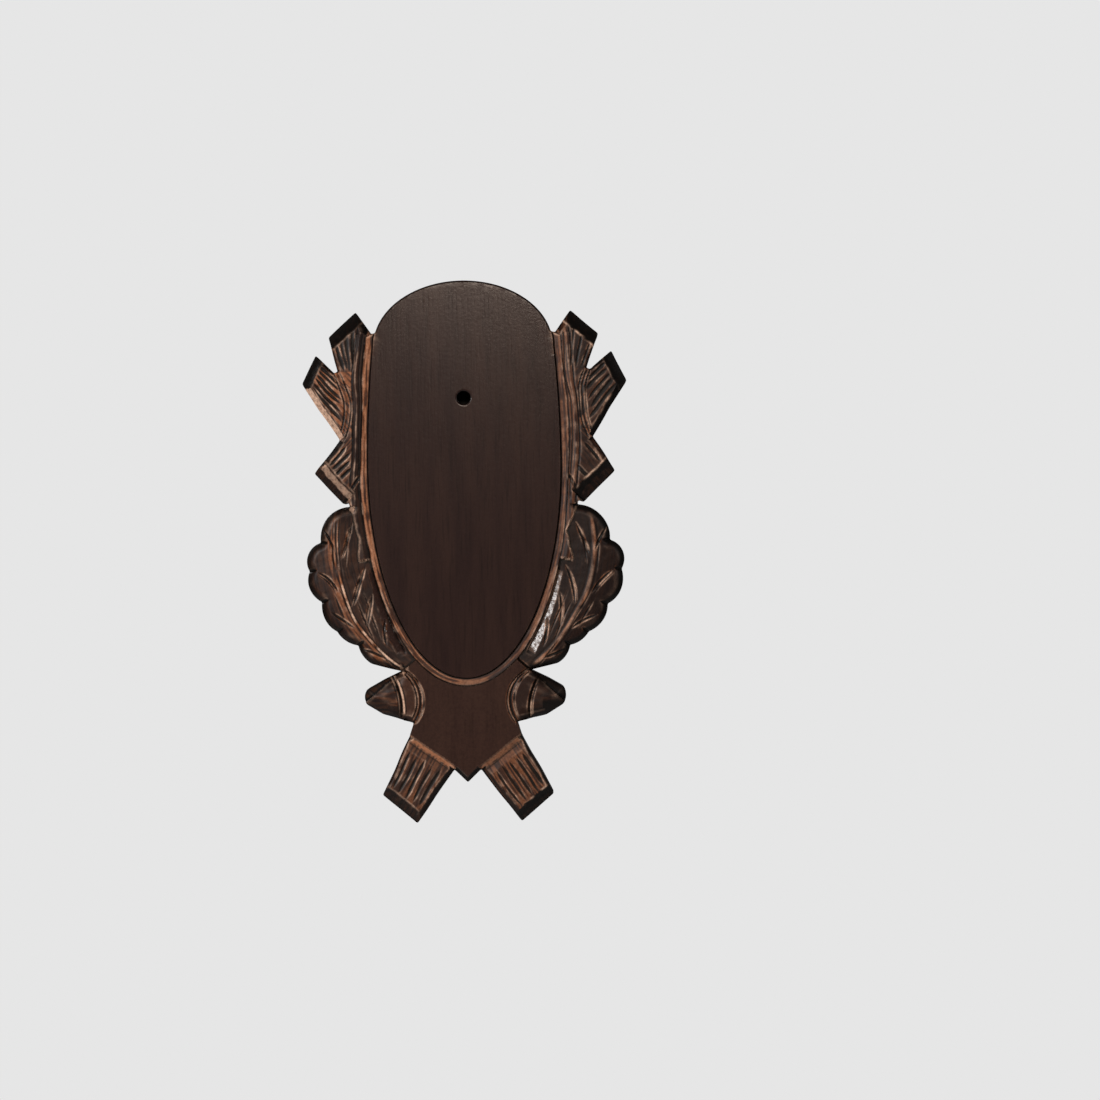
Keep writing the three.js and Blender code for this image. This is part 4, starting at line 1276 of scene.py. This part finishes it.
def facing(triangles, spots, front):
    """Triangles turned to look to the front, against the clock as seen there, or to the back."""
    p, q, r = (spots[triangles[:, i]] for i in range(3))
    area = (q - p)[:, 0] * (r - p)[:, 1] - (q - p)[:, 1] * (r - p)[:, 0]
    wrong = area < 0 if front else area > 0
    return np.where(wrong[:, None], triangles[:, ::-1], triangles)


class Shell:
    """The carved front and what is carried back from it: rows of vertices, each with its height
    over the back and its marks, and walls of quads between the rows."""

    def __init__(self, flat, height, marks):
        self.front = self.count = len(flat)
        self.rows, self.levels, self.walls = [flat], [height], []
        self.marks = {name: [values] for name, values in marks.items()}

    def add_row(self, spots, height, soaked_and_shade):
        """Adds a row of vertices at one height, or each at its own, and gives their numbers."""
        self.rows.append(spots)
        self.levels.append(np.broadcast_to(np.asarray(height, float), len(spots)))
        for name, parts in self.marks.items():
            parts.append(np.full(len(spots), soaked_and_shade if name == "soaked_and_shade" else 0.0))
        self.count += len(spots)
        return np.arange(self.count - len(spots), self.count)

    def carry(self, border, edges, rows):
        """Carries a border of the front down through rows of spots, height and soaked stain, and
        gives the number that each vertex of the front has in the last row."""
        first, second = edges
        upper = np.arange(self.front)
        for row in rows:
            lower = np.full(self.front, -1)
            lower[border] = self.add_row(*row)
            self.walls.append(np.stack([upper[second], upper[first], lower[first], lower[second]], 1))
            upper = lower
        return upper


def close_back(shell, outline, borders):
    """The flat back between the outline, the hole and the slot, with the slot sunk into it. Each
    border is its vertices of the front, their edges and their numbers in the last row."""
    slot = ring(SLOT_RADIUS, SLOT_HEIGHT, ROUND_SIDES, SLOT_RUN)
    mouth = shell.add_row(slot, 0, BACK_SOAKED)
    floor = shell.add_row(slot, SLOT_DEPTH, BACK_SOAKED)
    placed = np.vstack(shell.rows)
    numbers = np.concatenate([*(last[border] for border, _, last in borders), mouth])
    order = np.full(len(placed), -1)
    order[numbers] = np.arange(len(numbers))
    fixed = [order[last[np.stack(edges, 1)]] for _, edges, last in borders]
    fixed = np.vstack([*fixed, order[np.stack([mouth, np.roll(mouth, -1)], 1)]])
    here = placed[numbers]
    spots = [Vector(spot) for spot in here.tolist()]
    _, _, back, *_ = delaunay_2d_cdt(spots, fixed.tolist(), [], 0, 1e-6, False)
    back = np.array(back)
    middle = here[back].mean(axis=1)
    on_board = inside(*middle.T, outline) & ~inside(*middle.T, ring(HOLE_RADIUS, HOLE_HEIGHT))
    in_slot = inside(*middle.T, slot)
    sunk = numbers.copy()
    sunk[-len(floor) :] = floor
    shell.walls.append(np.stack([np.roll(mouth, -1), mouth, floor, np.roll(floor, -1)], 1))
    level = facing(back[on_board & ~in_slot], here, front=False)
    bottom = facing(back[in_slot], here, front=False)
    return np.vstack([numbers[level], sunk[bottom]])


def whole_board(pitch, rim_ease, tool_marks):
    """Vertices, triangles, quads and marks of the closed board, in drawing millimetres. Sides and
    hole are the front's own borders carried to the back, each vertex straight behind its own."""
    flat, faces, wood, outline = board_mesh(pitch, tool_marks)
    faces = facing(faces, flat, front=True)
    a, b, lone = edge_table(faces)
    a, b = a[lone], b[lone]
    border = np.unique(a)
    by_hole = np.hypot(flat[border, 0], flat[border, 1] - HOLE_HEIGHT) < HOLE_RADIUS + 1
    rim, hole = border[~by_hole], border[by_hole]
    rim_edges, hole_edges = ((a[on], b[on]) for on in (np.isin(a, rim), np.isin(a, hole)))
    height = BOARD_THICKNESS - wood.depth
    shell = Shell(flat, height, {name: getattr(wood, name) for name in MARKS})
    eased = (flat[rim], height[rim] - rim_ease, SIDE_SOAKED)
    rim_last = shell.carry(rim, rim_edges, (eased, (flat[rim], 0, BACK_SOAKED)))
    centre = np.array([0, HOLE_HEIGHT])
    out = (flat[hole] - centre) / (HOLE_RADIUS + HOLE_EASE)
    rows = [
        (centre + out * (HOLE_RADIUS + wider), BOARD_THICKNESS - deep, soaked_and_shade)
        for wider, deep, soaked_and_shade in HOLE_ROWS
    ]
    hole_last = shell.carry(hole, hole_edges, rows)
    borders = ((rim, rim_edges, rim_last), (hole, hole_edges, hole_last))
    back = close_back(shell, outline, borders)
    return {
        "flat": strayed(np.vstack(shell.rows)),
        "height": np.concatenate(shell.levels),
        "triangles": np.vstack([faces, back]),
        "quads": np.vstack(shell.walls),
        "marks": {name: np.concatenate(parts) for name, parts in shell.marks.items()},
        "front": (faces, len(flat)),
        "carved": smooth_step(wood.depth / 0.2),
    }


def read_wear_and_highlights(board):
    """Wear and painted highlights read from the form: points that stand above the mean of their
    neighbours are rubbed brown and in places painted bright, a painted highlight; points that lie
    under it are darkened."""
    faces, count = board["front"]
    a = faces[:, [0, 1, 2]].ravel()
    b = faces[:, [1, 2, 0]].ravel()
    flat = board["flat"][:count]
    close = np.hypot(*(flat[a] - flat[b]).T) < LONGEST_LOOK
    a, b = a[close], b[close]
    height = board["height"][:count]
    mean = neighbour_mean(a, b, height, WORN_ROUNDS)
    stands = (height - mean) / WEAR_AND_HIGHLIGHT_RISE * board["carved"]
    proud, sunk = np.clip(stands, 0, 1), np.clip(-stands, 0, 1)
    patchy = smooth_step(0.3 + 0.9 * ripple(flat[:, 0] + 200, flat[:, 1] + 300, 3.0, 3.0, 71))
    bright, soaked_and_shade, rubbed = (board["marks"][name][:count] for name in ("bright", "soaked_and_shade", "rubbed"))
    # Painted highlight in patches on the proud points, with their wear.
    bright[:] = np.clip(bright + 0.5 * proud * patchy * (1 - soaked_and_shade), 0, 1)
    rubbed[:] = np.maximum(rubbed, 0.4 * proud * (1 - 0.8 * soaked_and_shade))
    soaked_and_shade[:] = np.clip(soaked_and_shade + 0.8 * sunk, 0, 1)
    return board


def add_piece(name, board, material):
    """Mesh object of the board: x stays, depth runs into the wall, y stands up, in metres."""
    flat, height = board["flat"], board["height"]
    spots = np.stack([flat[:, 0], -height, flat[:, 1]], 1) * MM
    triangles, quads = board["triangles"], board["quads"]
    mesh = bpy.data.meshes.new(name)
    mesh.vertices.add(len(spots))
    mesh.vertices.foreach_set("co", spots.astype(np.float32).ravel())
    corners = np.concatenate([triangles.ravel(), quads.ravel()]).astype(np.int32)
    sizes = np.concatenate([np.full(len(triangles), 3), np.full(len(quads), 4)])
    mesh.loops.add(len(corners))
    mesh.loops.foreach_set("vertex_index", corners)
    mesh.polygons.add(len(sizes))
    mesh.polygons.foreach_set("loop_start", (np.cumsum(sizes) - sizes).astype(np.int32))
    mesh.update(calc_edges=True)
    for mark, values in board["marks"].items():
        layer = mesh.attributes.new(mark, "FLOAT", "POINT")
        layer.data.foreach_set("value", values.astype(np.float32))
    mesh.polygons.foreach_set("use_smooth", np.ones(len(sizes), bool))
    mesh.set_sharp_from_angle(angle=math.radians(38))
    mesh.validate()
    mesh.materials.append(material)
    piece = bpy.data.objects.new(name, mesh)
    bpy.context.scene.collection.objects.link(piece)
    return piece


# Finish


def linear(colour):
    """An sRGB hex colour as linear light, with full alpha."""
    parts = [int(colour[i : i + 2], 16) / 255 for i in (1, 3, 5)]
    return tuple(c / 12.92 if c <= 0.04045 else ((c + 0.055) / 1.055) ** 2.4 for c in parts) + (1,)


def node(tree, kind, sockets=None, **settings):
    """Adds a node: each socket, by its name or number, takes a link from another node's output
    or a value; the settings are the node's own."""
    made = tree.nodes.new("ShaderNode" + kind)
    for name, value in settings.items():
        setattr(made, name, value)
    for name, value in (sockets or {}).items():
        if isinstance(value, bpy.types.NodeSocket):
            tree.links.new(value, made.inputs[name])
        else:
            made.inputs[name].default_value = value
    return made


def new_material(name):
    """An empty material, and its tree of nodes."""
    material = bpy.data.materials.new(name)
    material.use_nodes = True
    material.node_tree.nodes.clear()
    return material, material.node_tree


def per_metre(spacing):
    """A noise node's scale, from the distance in millimetres between its bumps."""
    return 1 / (spacing * MM)


def stained_oak(finish):
    """Oak with a spirit stain and a satin lacquer, rubbed back by hand. The eye sees a deep
    brown-black with faint upright grain, open pores as fine dark dashes, warm brown wood where
    the stain is thin, near black in the end grain, in every cut and where shade is painted, pale
    worn arrises and painted highlights, and a soft sheen over all."""
    material, tree = new_material("dark stained oak, satin lacquered")
    place = node(tree, "TexCoord").outputs["Object"]
    rubbed, bright, soaked_and_shade, streak, worked = (
        node(tree, "Attribute", attribute_name=name).outputs["Fac"] for name in MARKS
    )
    upright = node(tree, "Mapping", {"Vector": place, "Scale": (1, 1, PORE_SQUEEZE)}).outputs[0]
    pores = {"Vector": upright, "Scale": per_metre(PORE_SPACING), "Detail": 3, "Roughness": 0.6}
    pores = node(tree, "TexNoise", pores)
    leaning = node(tree, "Mapping", {"Vector": place, "Scale": (1, 1, GRAIN_SQUEEZE)}).outputs[0]
    figure = {"Vector": leaning, "Scale": per_metre(GRAIN_SPACING), "Detail": 4, "Roughness": 0.6}
    figure = node(tree, "TexNoise", figure)
    cloud = {"Vector": place, "Scale": per_metre(CLOUD_SPACING), "Detail": 3, "Roughness": 0.55}
    cloud = node(tree, "TexNoise", cloud)
    speck = {"Vector": place, "Scale": per_metre(SPECK_SPACING), "Detail": 4, "Roughness": 0.7}
    speck = node(tree, "TexNoise", speck)
    pores, figure, cloud, speck = (made.outputs["Fac"] for made in (pores, figure, cloud, speck))

    # Ground: the stain, lighter on the hard grain, with the pores dark.
    hard = node(tree, "MapRange", {"Value": figure, "From Min": 0.35, "From Max": 0.65})
    ground = {0: hard.outputs[0], 6: finish.stain, 7: finish.stain_light}
    ground = node(tree, "Mix", ground, data_type="RGBA").outputs[2]
    open_pores = {"Value": pores, "From Min": 0.5, "From Max": 0.72, "To Max": 0.28}
    open_pores = node(tree, "MapRange", open_pores, interpolation_type="SMOOTHSTEP").outputs[0]
    ground = {0: open_pores, 6: ground, 7: finish.soaked_and_shade}
    ground = node(tree, "Mix", ground, data_type="RGBA").outputs[2]

    # Rubbed wood: warm brown with darker specks and streaks along the cut.
    light = {"Value": speck, "From Min": 0.3, "From Max": 0.65, "To Min": 0.4}
    light = node(tree, "MapRange", light, interpolation_type="SMOOTHSTEP").outputs[0]
    brown = {0: light, 6: finish.rubbed_dark, 7: finish.rubbed}
    brown = node(tree, "Mix", brown, data_type="RGBA").outputs[2]
    streaked = {"Value": streak, "From Min": -0.5, "From Max": 0.45}
    streaked = node(tree, "MapRange", streaked, interpolation_type="SMOOTHSTEP").outputs[0]
    brown = {0: streaked, 6: finish.rubbed_dark, 7: brown}
    brown = node(tree, "Mix", brown, data_type="RGBA").outputs[2]
    uneven = {"Value": cloud, "From Min": 0.3, "From Max": 0.7, "To Min": 0.7}
    uneven = node(tree, "MapRange", uneven).outputs[0]
    patchy = {"Value": streak, "From Min": -0.7, "From Max": 0.3, "To Min": 0.35}
    patchy = node(tree, "MapRange", patchy, interpolation_type="SMOOTHSTEP").outputs[0]
    uneven = node(tree, "Math", {0: uneven, 1: patchy}, operation="MULTIPLY").outputs[0]
    uneven = node(tree, "Math", {0: rubbed, 1: uneven}, operation="MULTIPLY").outputs[0]
    colour = {0: uneven, 6: ground, 7: brown}
    colour = node(tree, "Mix", colour, data_type="RGBA").outputs[2]

    # Stain soaked into end grain and cuts, and painted shade in the same mark, then the worn
    # arrises and painted highlights over it.
    deep = {"Value": speck, "From Min": 0.2, "From Max": 0.55, "To Min": 0.85}
    deep = node(tree, "MapRange", deep).outputs[0]
    deep = node(tree, "Math", {0: soaked_and_shade, 1: deep}, operation="MULTIPLY").outputs[0]
    colour = {0: deep, 6: colour, 7: finish.soaked_and_shade}
    colour = node(tree, "Mix", colour, data_type="RGBA").outputs[2]
    broken = {"Value": speck, "From Min": 0.3, "From Max": 0.6, "To Min": 0.35}
    broken = node(tree, "MapRange", broken, interpolation_type="SMOOTHSTEP").outputs[0]
    broken = node(tree, "Math", {0: bright, 1: broken}, operation="MULTIPLY").outputs[0]
    colour = {0: broken, 6: colour, 7: finish.worn_and_highlight_colour}
    colour = node(tree, "Mix", colour, data_type="RGBA").outputs[2]

    # Lacquer: it fills the pores almost level, and pulls a little over the specks.
    satin = {"Value": figure, "From Min": 0.3, "From Max": 0.7, "To Min": 0.4, "To Max": 0.48}
    satin = node(tree, "MapRange", satin).outputs[0]
    level = {"Value": pores, "From Min": 0.45, "From Max": 0.7, "To Min": 1.0, "To Max": 0.0}
    level = node(tree, "MapRange", level).outputs[0]
    filled = {"Height": level, "Strength": 0.35, "Distance": PORE_SINK * MM}
    filled = node(tree, "Bump", filled).outputs[0]
    pulled = {"Height": speck, "Normal": filled, "Strength": 0.45, "Distance": SPECK_SINK * MM}
    pulled = node(tree, "Bump", pulled).outputs[0]

    # The gloss lies in the coat: high on the flat field, dull where the gouge went over.
    gloss = node(tree, "MapRange", {"Value": worked, "To Min": 0.3, "To Max": 0.18}).outputs[0]
    dull = node(tree, "MapRange", {"Value": worked, "To Min": 0.2, "To Max": 0.42}).outputs[0]
    lacquer = {
        "Base Color": colour,
        "Roughness": satin,
        "Normal": pulled,
        "IOR": 1.5,
        "Specular IOR Level": 0.02,
        "Coat Weight": gloss,
        "Coat Roughness": dull,
        "Coat Normal": pulled,
    }
    shader = node(tree, "BsdfPrincipled", lacquer)
    node(tree, "OutputMaterial", {"Surface": shader.outputs[0]})
    return material


def painted_board(colour):
    """Matt painted studio board, for the floor and for the card of painted shade behind the screw
    hole: one even colour with the faintest roller texture."""
    material, tree = new_material("matt painted board")
    place = node(tree, "TexCoord").outputs["Object"]
    roller = {"Vector": place, "Scale": per_metre(ROLLER_SPACING), "Detail": 2}
    roller = node(tree, "TexNoise", roller).outputs["Fac"]
    bump = node(tree, "Bump", {"Height": roller, "Strength": 0.1, "Distance": 0.0002}).outputs[0]
    paint = {"Base Color": colour, "Roughness": 0.85, "Normal": bump}
    shader = node(tree, "BsdfPrincipled", paint)
    node(tree, "OutputMaterial", {"Surface": shader.outputs[0]})
    return material


# Add-on


def colour_property(name, description, colour):
    """A colour that a user can pick, from an sRGB hex value."""
    shown = {"name": name, "description": description, "subtype": "COLOR"}
    return FloatVectorProperty(**shown, size=4, min=0, max=1, default=linear(colour))


class PlaqueFinish(bpy.types.PropertyGroup):
    """Carving and finish that a maker would choose."""

    pitch: FloatProperty(
        name="Pitch",
        description="Distance between the points of the carved surface, in millimetres",
        default=0.38,
        min=0.25,
        max=1.0,
    )
    tool_marks: FloatProperty(
        name="Tool marks",
        description="Depth of the gouge marks, 1 is hand work",
        default=1.0,
        min=0.0,
        max=3.0,
    )
    rim_ease: FloatProperty(
        name="Rim",
        description="Worn depth of the outer arris, in millimetres",
        default=0.3,
        min=0.0,
        max=1.0,
    )
    stain: colour_property("Stain", "Stain on the flat wood", "#201412")
    stain_light: colour_property("Stain, light grain", "Stain on hard grain", "#281a16")
    rubbed: colour_property("Rubbed", "Wood under thin stain", "#9c613e")
    rubbed_dark: colour_property("Rubbed, dark", "Darker streaks there", "#472616")
    # Near black of end grain and cuts, and of painted shade.
    soaked_and_shade: colour_property("Soaked", "End grain, cuts and painted shade", "#070504")
    # Pale colour of worn arrises and of painted highlights.
    worn_and_highlight_colour: colour_property("Worn", "Worn arrises and painted highlights", "#c9a68f")


class PlaqueStage(bpy.types.PropertyGroup):
    """Camera, light and floor."""

    distance: FloatProperty(
        name="Distance",
        description="Camera to the face of the board",
        default=1.5,
        unit="LENGTH",
    )
    view_width: FloatProperty(
        name="View width",
        description="Width seen at the face of the board",
        default=0.5064,
        unit="LENGTH",
    )
    lean: FloatProperty(
        name="Lean",
        description="Lean of the board in the picture",
        default=math.radians(0.65),
        subtype="ANGLE",
    )
    backdrop: colour_property("Backdrop", "Colour behind the board", "#e6e6e6")
    key_power: FloatProperty(
        name="Key", description="Power of the main light", default=12.5, unit="POWER"
    )
    fill: FloatProperty(name="Fill", description="Strength of the room's light", default=0.1)


class PLAQUE_OT_board(bpy.types.Operator):
    """Carve and finish the oak board"""

    bl_idname = "plaque.board"
    bl_label = "Carved board"

    def execute(self, context):
        finish = context.scene.plaque_finish
        board = read_wear_and_highlights(whole_board(finish.pitch, finish.rim_ease, finish.tool_marks))
        piece = add_piece("carved_board", board, stained_oak(finish))
        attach(piece, "root")
        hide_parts("plaque")
        return {"FINISHED"}


def add_disc(name, centre, up, radius, colour):
    """Flat painted disc: its centre plus the radius times the cosine along x and the sine along
    the direction called up."""
    angle = np.linspace(0, 2 * math.pi, 96, endpoint=False)[:, None]
    spots = np.array(centre) + radius * (np.cos(angle) * (1, 0, 0) + np.sin(angle) * up)
    mesh = bpy.data.meshes.new(name)
    mesh.from_pydata(spots.tolist(), [], [list(range(len(spots)))])
    mesh.materials.append(painted_board(colour))
    disc = bpy.data.objects.new(name, mesh)
    bpy.context.scene.collection.objects.link(disc)
    return disc


def add_lamp(name, place, target, size, power, colour):
    """Soft lamp with a rectangular shade, turned to its target."""
    light = bpy.data.lights.new(name, "AREA")
    light.shape = "RECTANGLE"
    light.size, light.size_y = size
    light.energy = power
    light.color = colour
    lamp = bpy.data.objects.new(name, light)
    lamp.location = place
    lamp.rotation_euler = (Vector(target) - Vector(place)).to_track_quat("-Z", "Y").to_euler()
    bpy.context.scene.collection.objects.link(lamp)


def light_room(scene, stage):
    """The room: the backdrop's colour to the eye, and a weak even light on everything else."""
    world = scene.world or bpy.data.worlds.new("studio")
    scene.world = world
    world.use_nodes = True
    tree = world.node_tree
    tree.nodes.clear()
    seen = node(tree, "Background", {"Color": stage.backdrop, "Strength": 1.0}).outputs[0]
    room = {"Color": linear(ROOM_COLOUR), "Strength": stage.fill}
    room = node(tree, "Background", room).outputs[0]
    to_eye = node(tree, "LightPath").outputs["Is Camera Ray"]
    mix = node(tree, "MixShader", {0: to_eye, 1: room, 2: seen}).outputs[0]
    node(tree, "OutputWorld", {"Surface": mix})


def add_camera(scene, stage):
    """Camera straight in front of the face, turned by the board's lean in the picture."""
    camera = bpy.data.cameras.new("camera")
    camera.sensor_width = 36
    camera.lens = camera.sensor_width * stage.distance / stage.view_width
    camera.clip_start = 0.01
    eye = bpy.data.objects.new("camera", camera)
    right = Vector((math.cos(stage.lean), 0, -math.sin(stage.lean)))
    up = Vector((math.sin(stage.lean), 0, math.cos(stage.lean)))
    back = right.cross(up)
    turn = Matrix((right, up, back)).transposed().to_4x4()
    eye.matrix_world = Matrix.Translation(AIM + back * stage.distance) @ turn
    scene.collection.objects.link(eye)
    scene.camera = eye


class PLAQUE_OT_stage(bpy.types.Operator):
    """Set the floor, the soft lights and the camera"""

    bl_idname = "plaque.stage"
    bl_label = "Stage"

    def execute(self, context):
        scene, stage = context.scene, context.scene.plaque_stage
        ground = (0, 0, AIM.z - FLOOR_DROP)
        floor = add_disc("floor", ground, (0, 1, 0), FLOOR_RADIUS, stage.backdrop)
        # Painted shade: a dark card right behind the screw hole stands for the shade inside it.
        hole = (0, SHADE_CARD_GAP, HOLE_HEIGHT * MM)
        behind = add_disc("painted_shade_card", hole, (0, 0, 1), SHADE_CARD_RADIUS, linear(SHADE_CARD_COLOUR))
        for name, (place, target, size, share, colour) in LAMPS.items():
            add_lamp(name, place, target, size, stage.key_power * share, linear(colour)[:3])
        light_room(scene, stage)
        add_camera(scene, stage)
        scene.view_settings.view_transform = "Standard"
        scene.view_settings.look = "None"
        return {"FINISHED"}


class PLAQUE_PT_panel(bpy.types.Panel):
    """Builds the plaque and its stage"""

    bl_idname = "PLAQUE_PT_panel"
    bl_label = "Plaque"
    bl_space_type = "VIEW_3D"
    bl_region_type = "UI"
    bl_category = "Plaque"

    def draw(self, context):
        for group in (context.scene.plaque_finish, context.scene.plaque_stage):
            box = self.layout.box()
            for name in group.bl_rna.properties.keys():
                if name not in ("rna_type", "name"):
                    box.prop(group, name)
        self.layout.operator(PLAQUE_OT_board.bl_idname)
        self.layout.operator(PLAQUE_OT_stage.bl_idname)


CLASSES = (PlaqueFinish, PlaqueStage, PLAQUE_OT_board, PLAQUE_OT_stage, PLAQUE_PT_panel)


def register():
    """Makes the classes and their settings known."""
    for cls in CLASSES:
        bpy.utils.register_class(cls)
    bpy.types.Scene.plaque_finish = PointerProperty(type=PlaqueFinish)
    bpy.types.Scene.plaque_stage = PointerProperty(type=PlaqueStage)


def unregister():
    """Takes the settings and the classes away again."""
    del bpy.types.Scene.plaque_stage
    del bpy.types.Scene.plaque_finish
    for cls in reversed(CLASSES):
        bpy.utils.unregister_class(cls)


def main():
    """Builds the board and its stage."""
    register()
    bpy.ops.plaque.board()
    bpy.ops.plaque.stage()


if __name__ == "__main__":
    main()
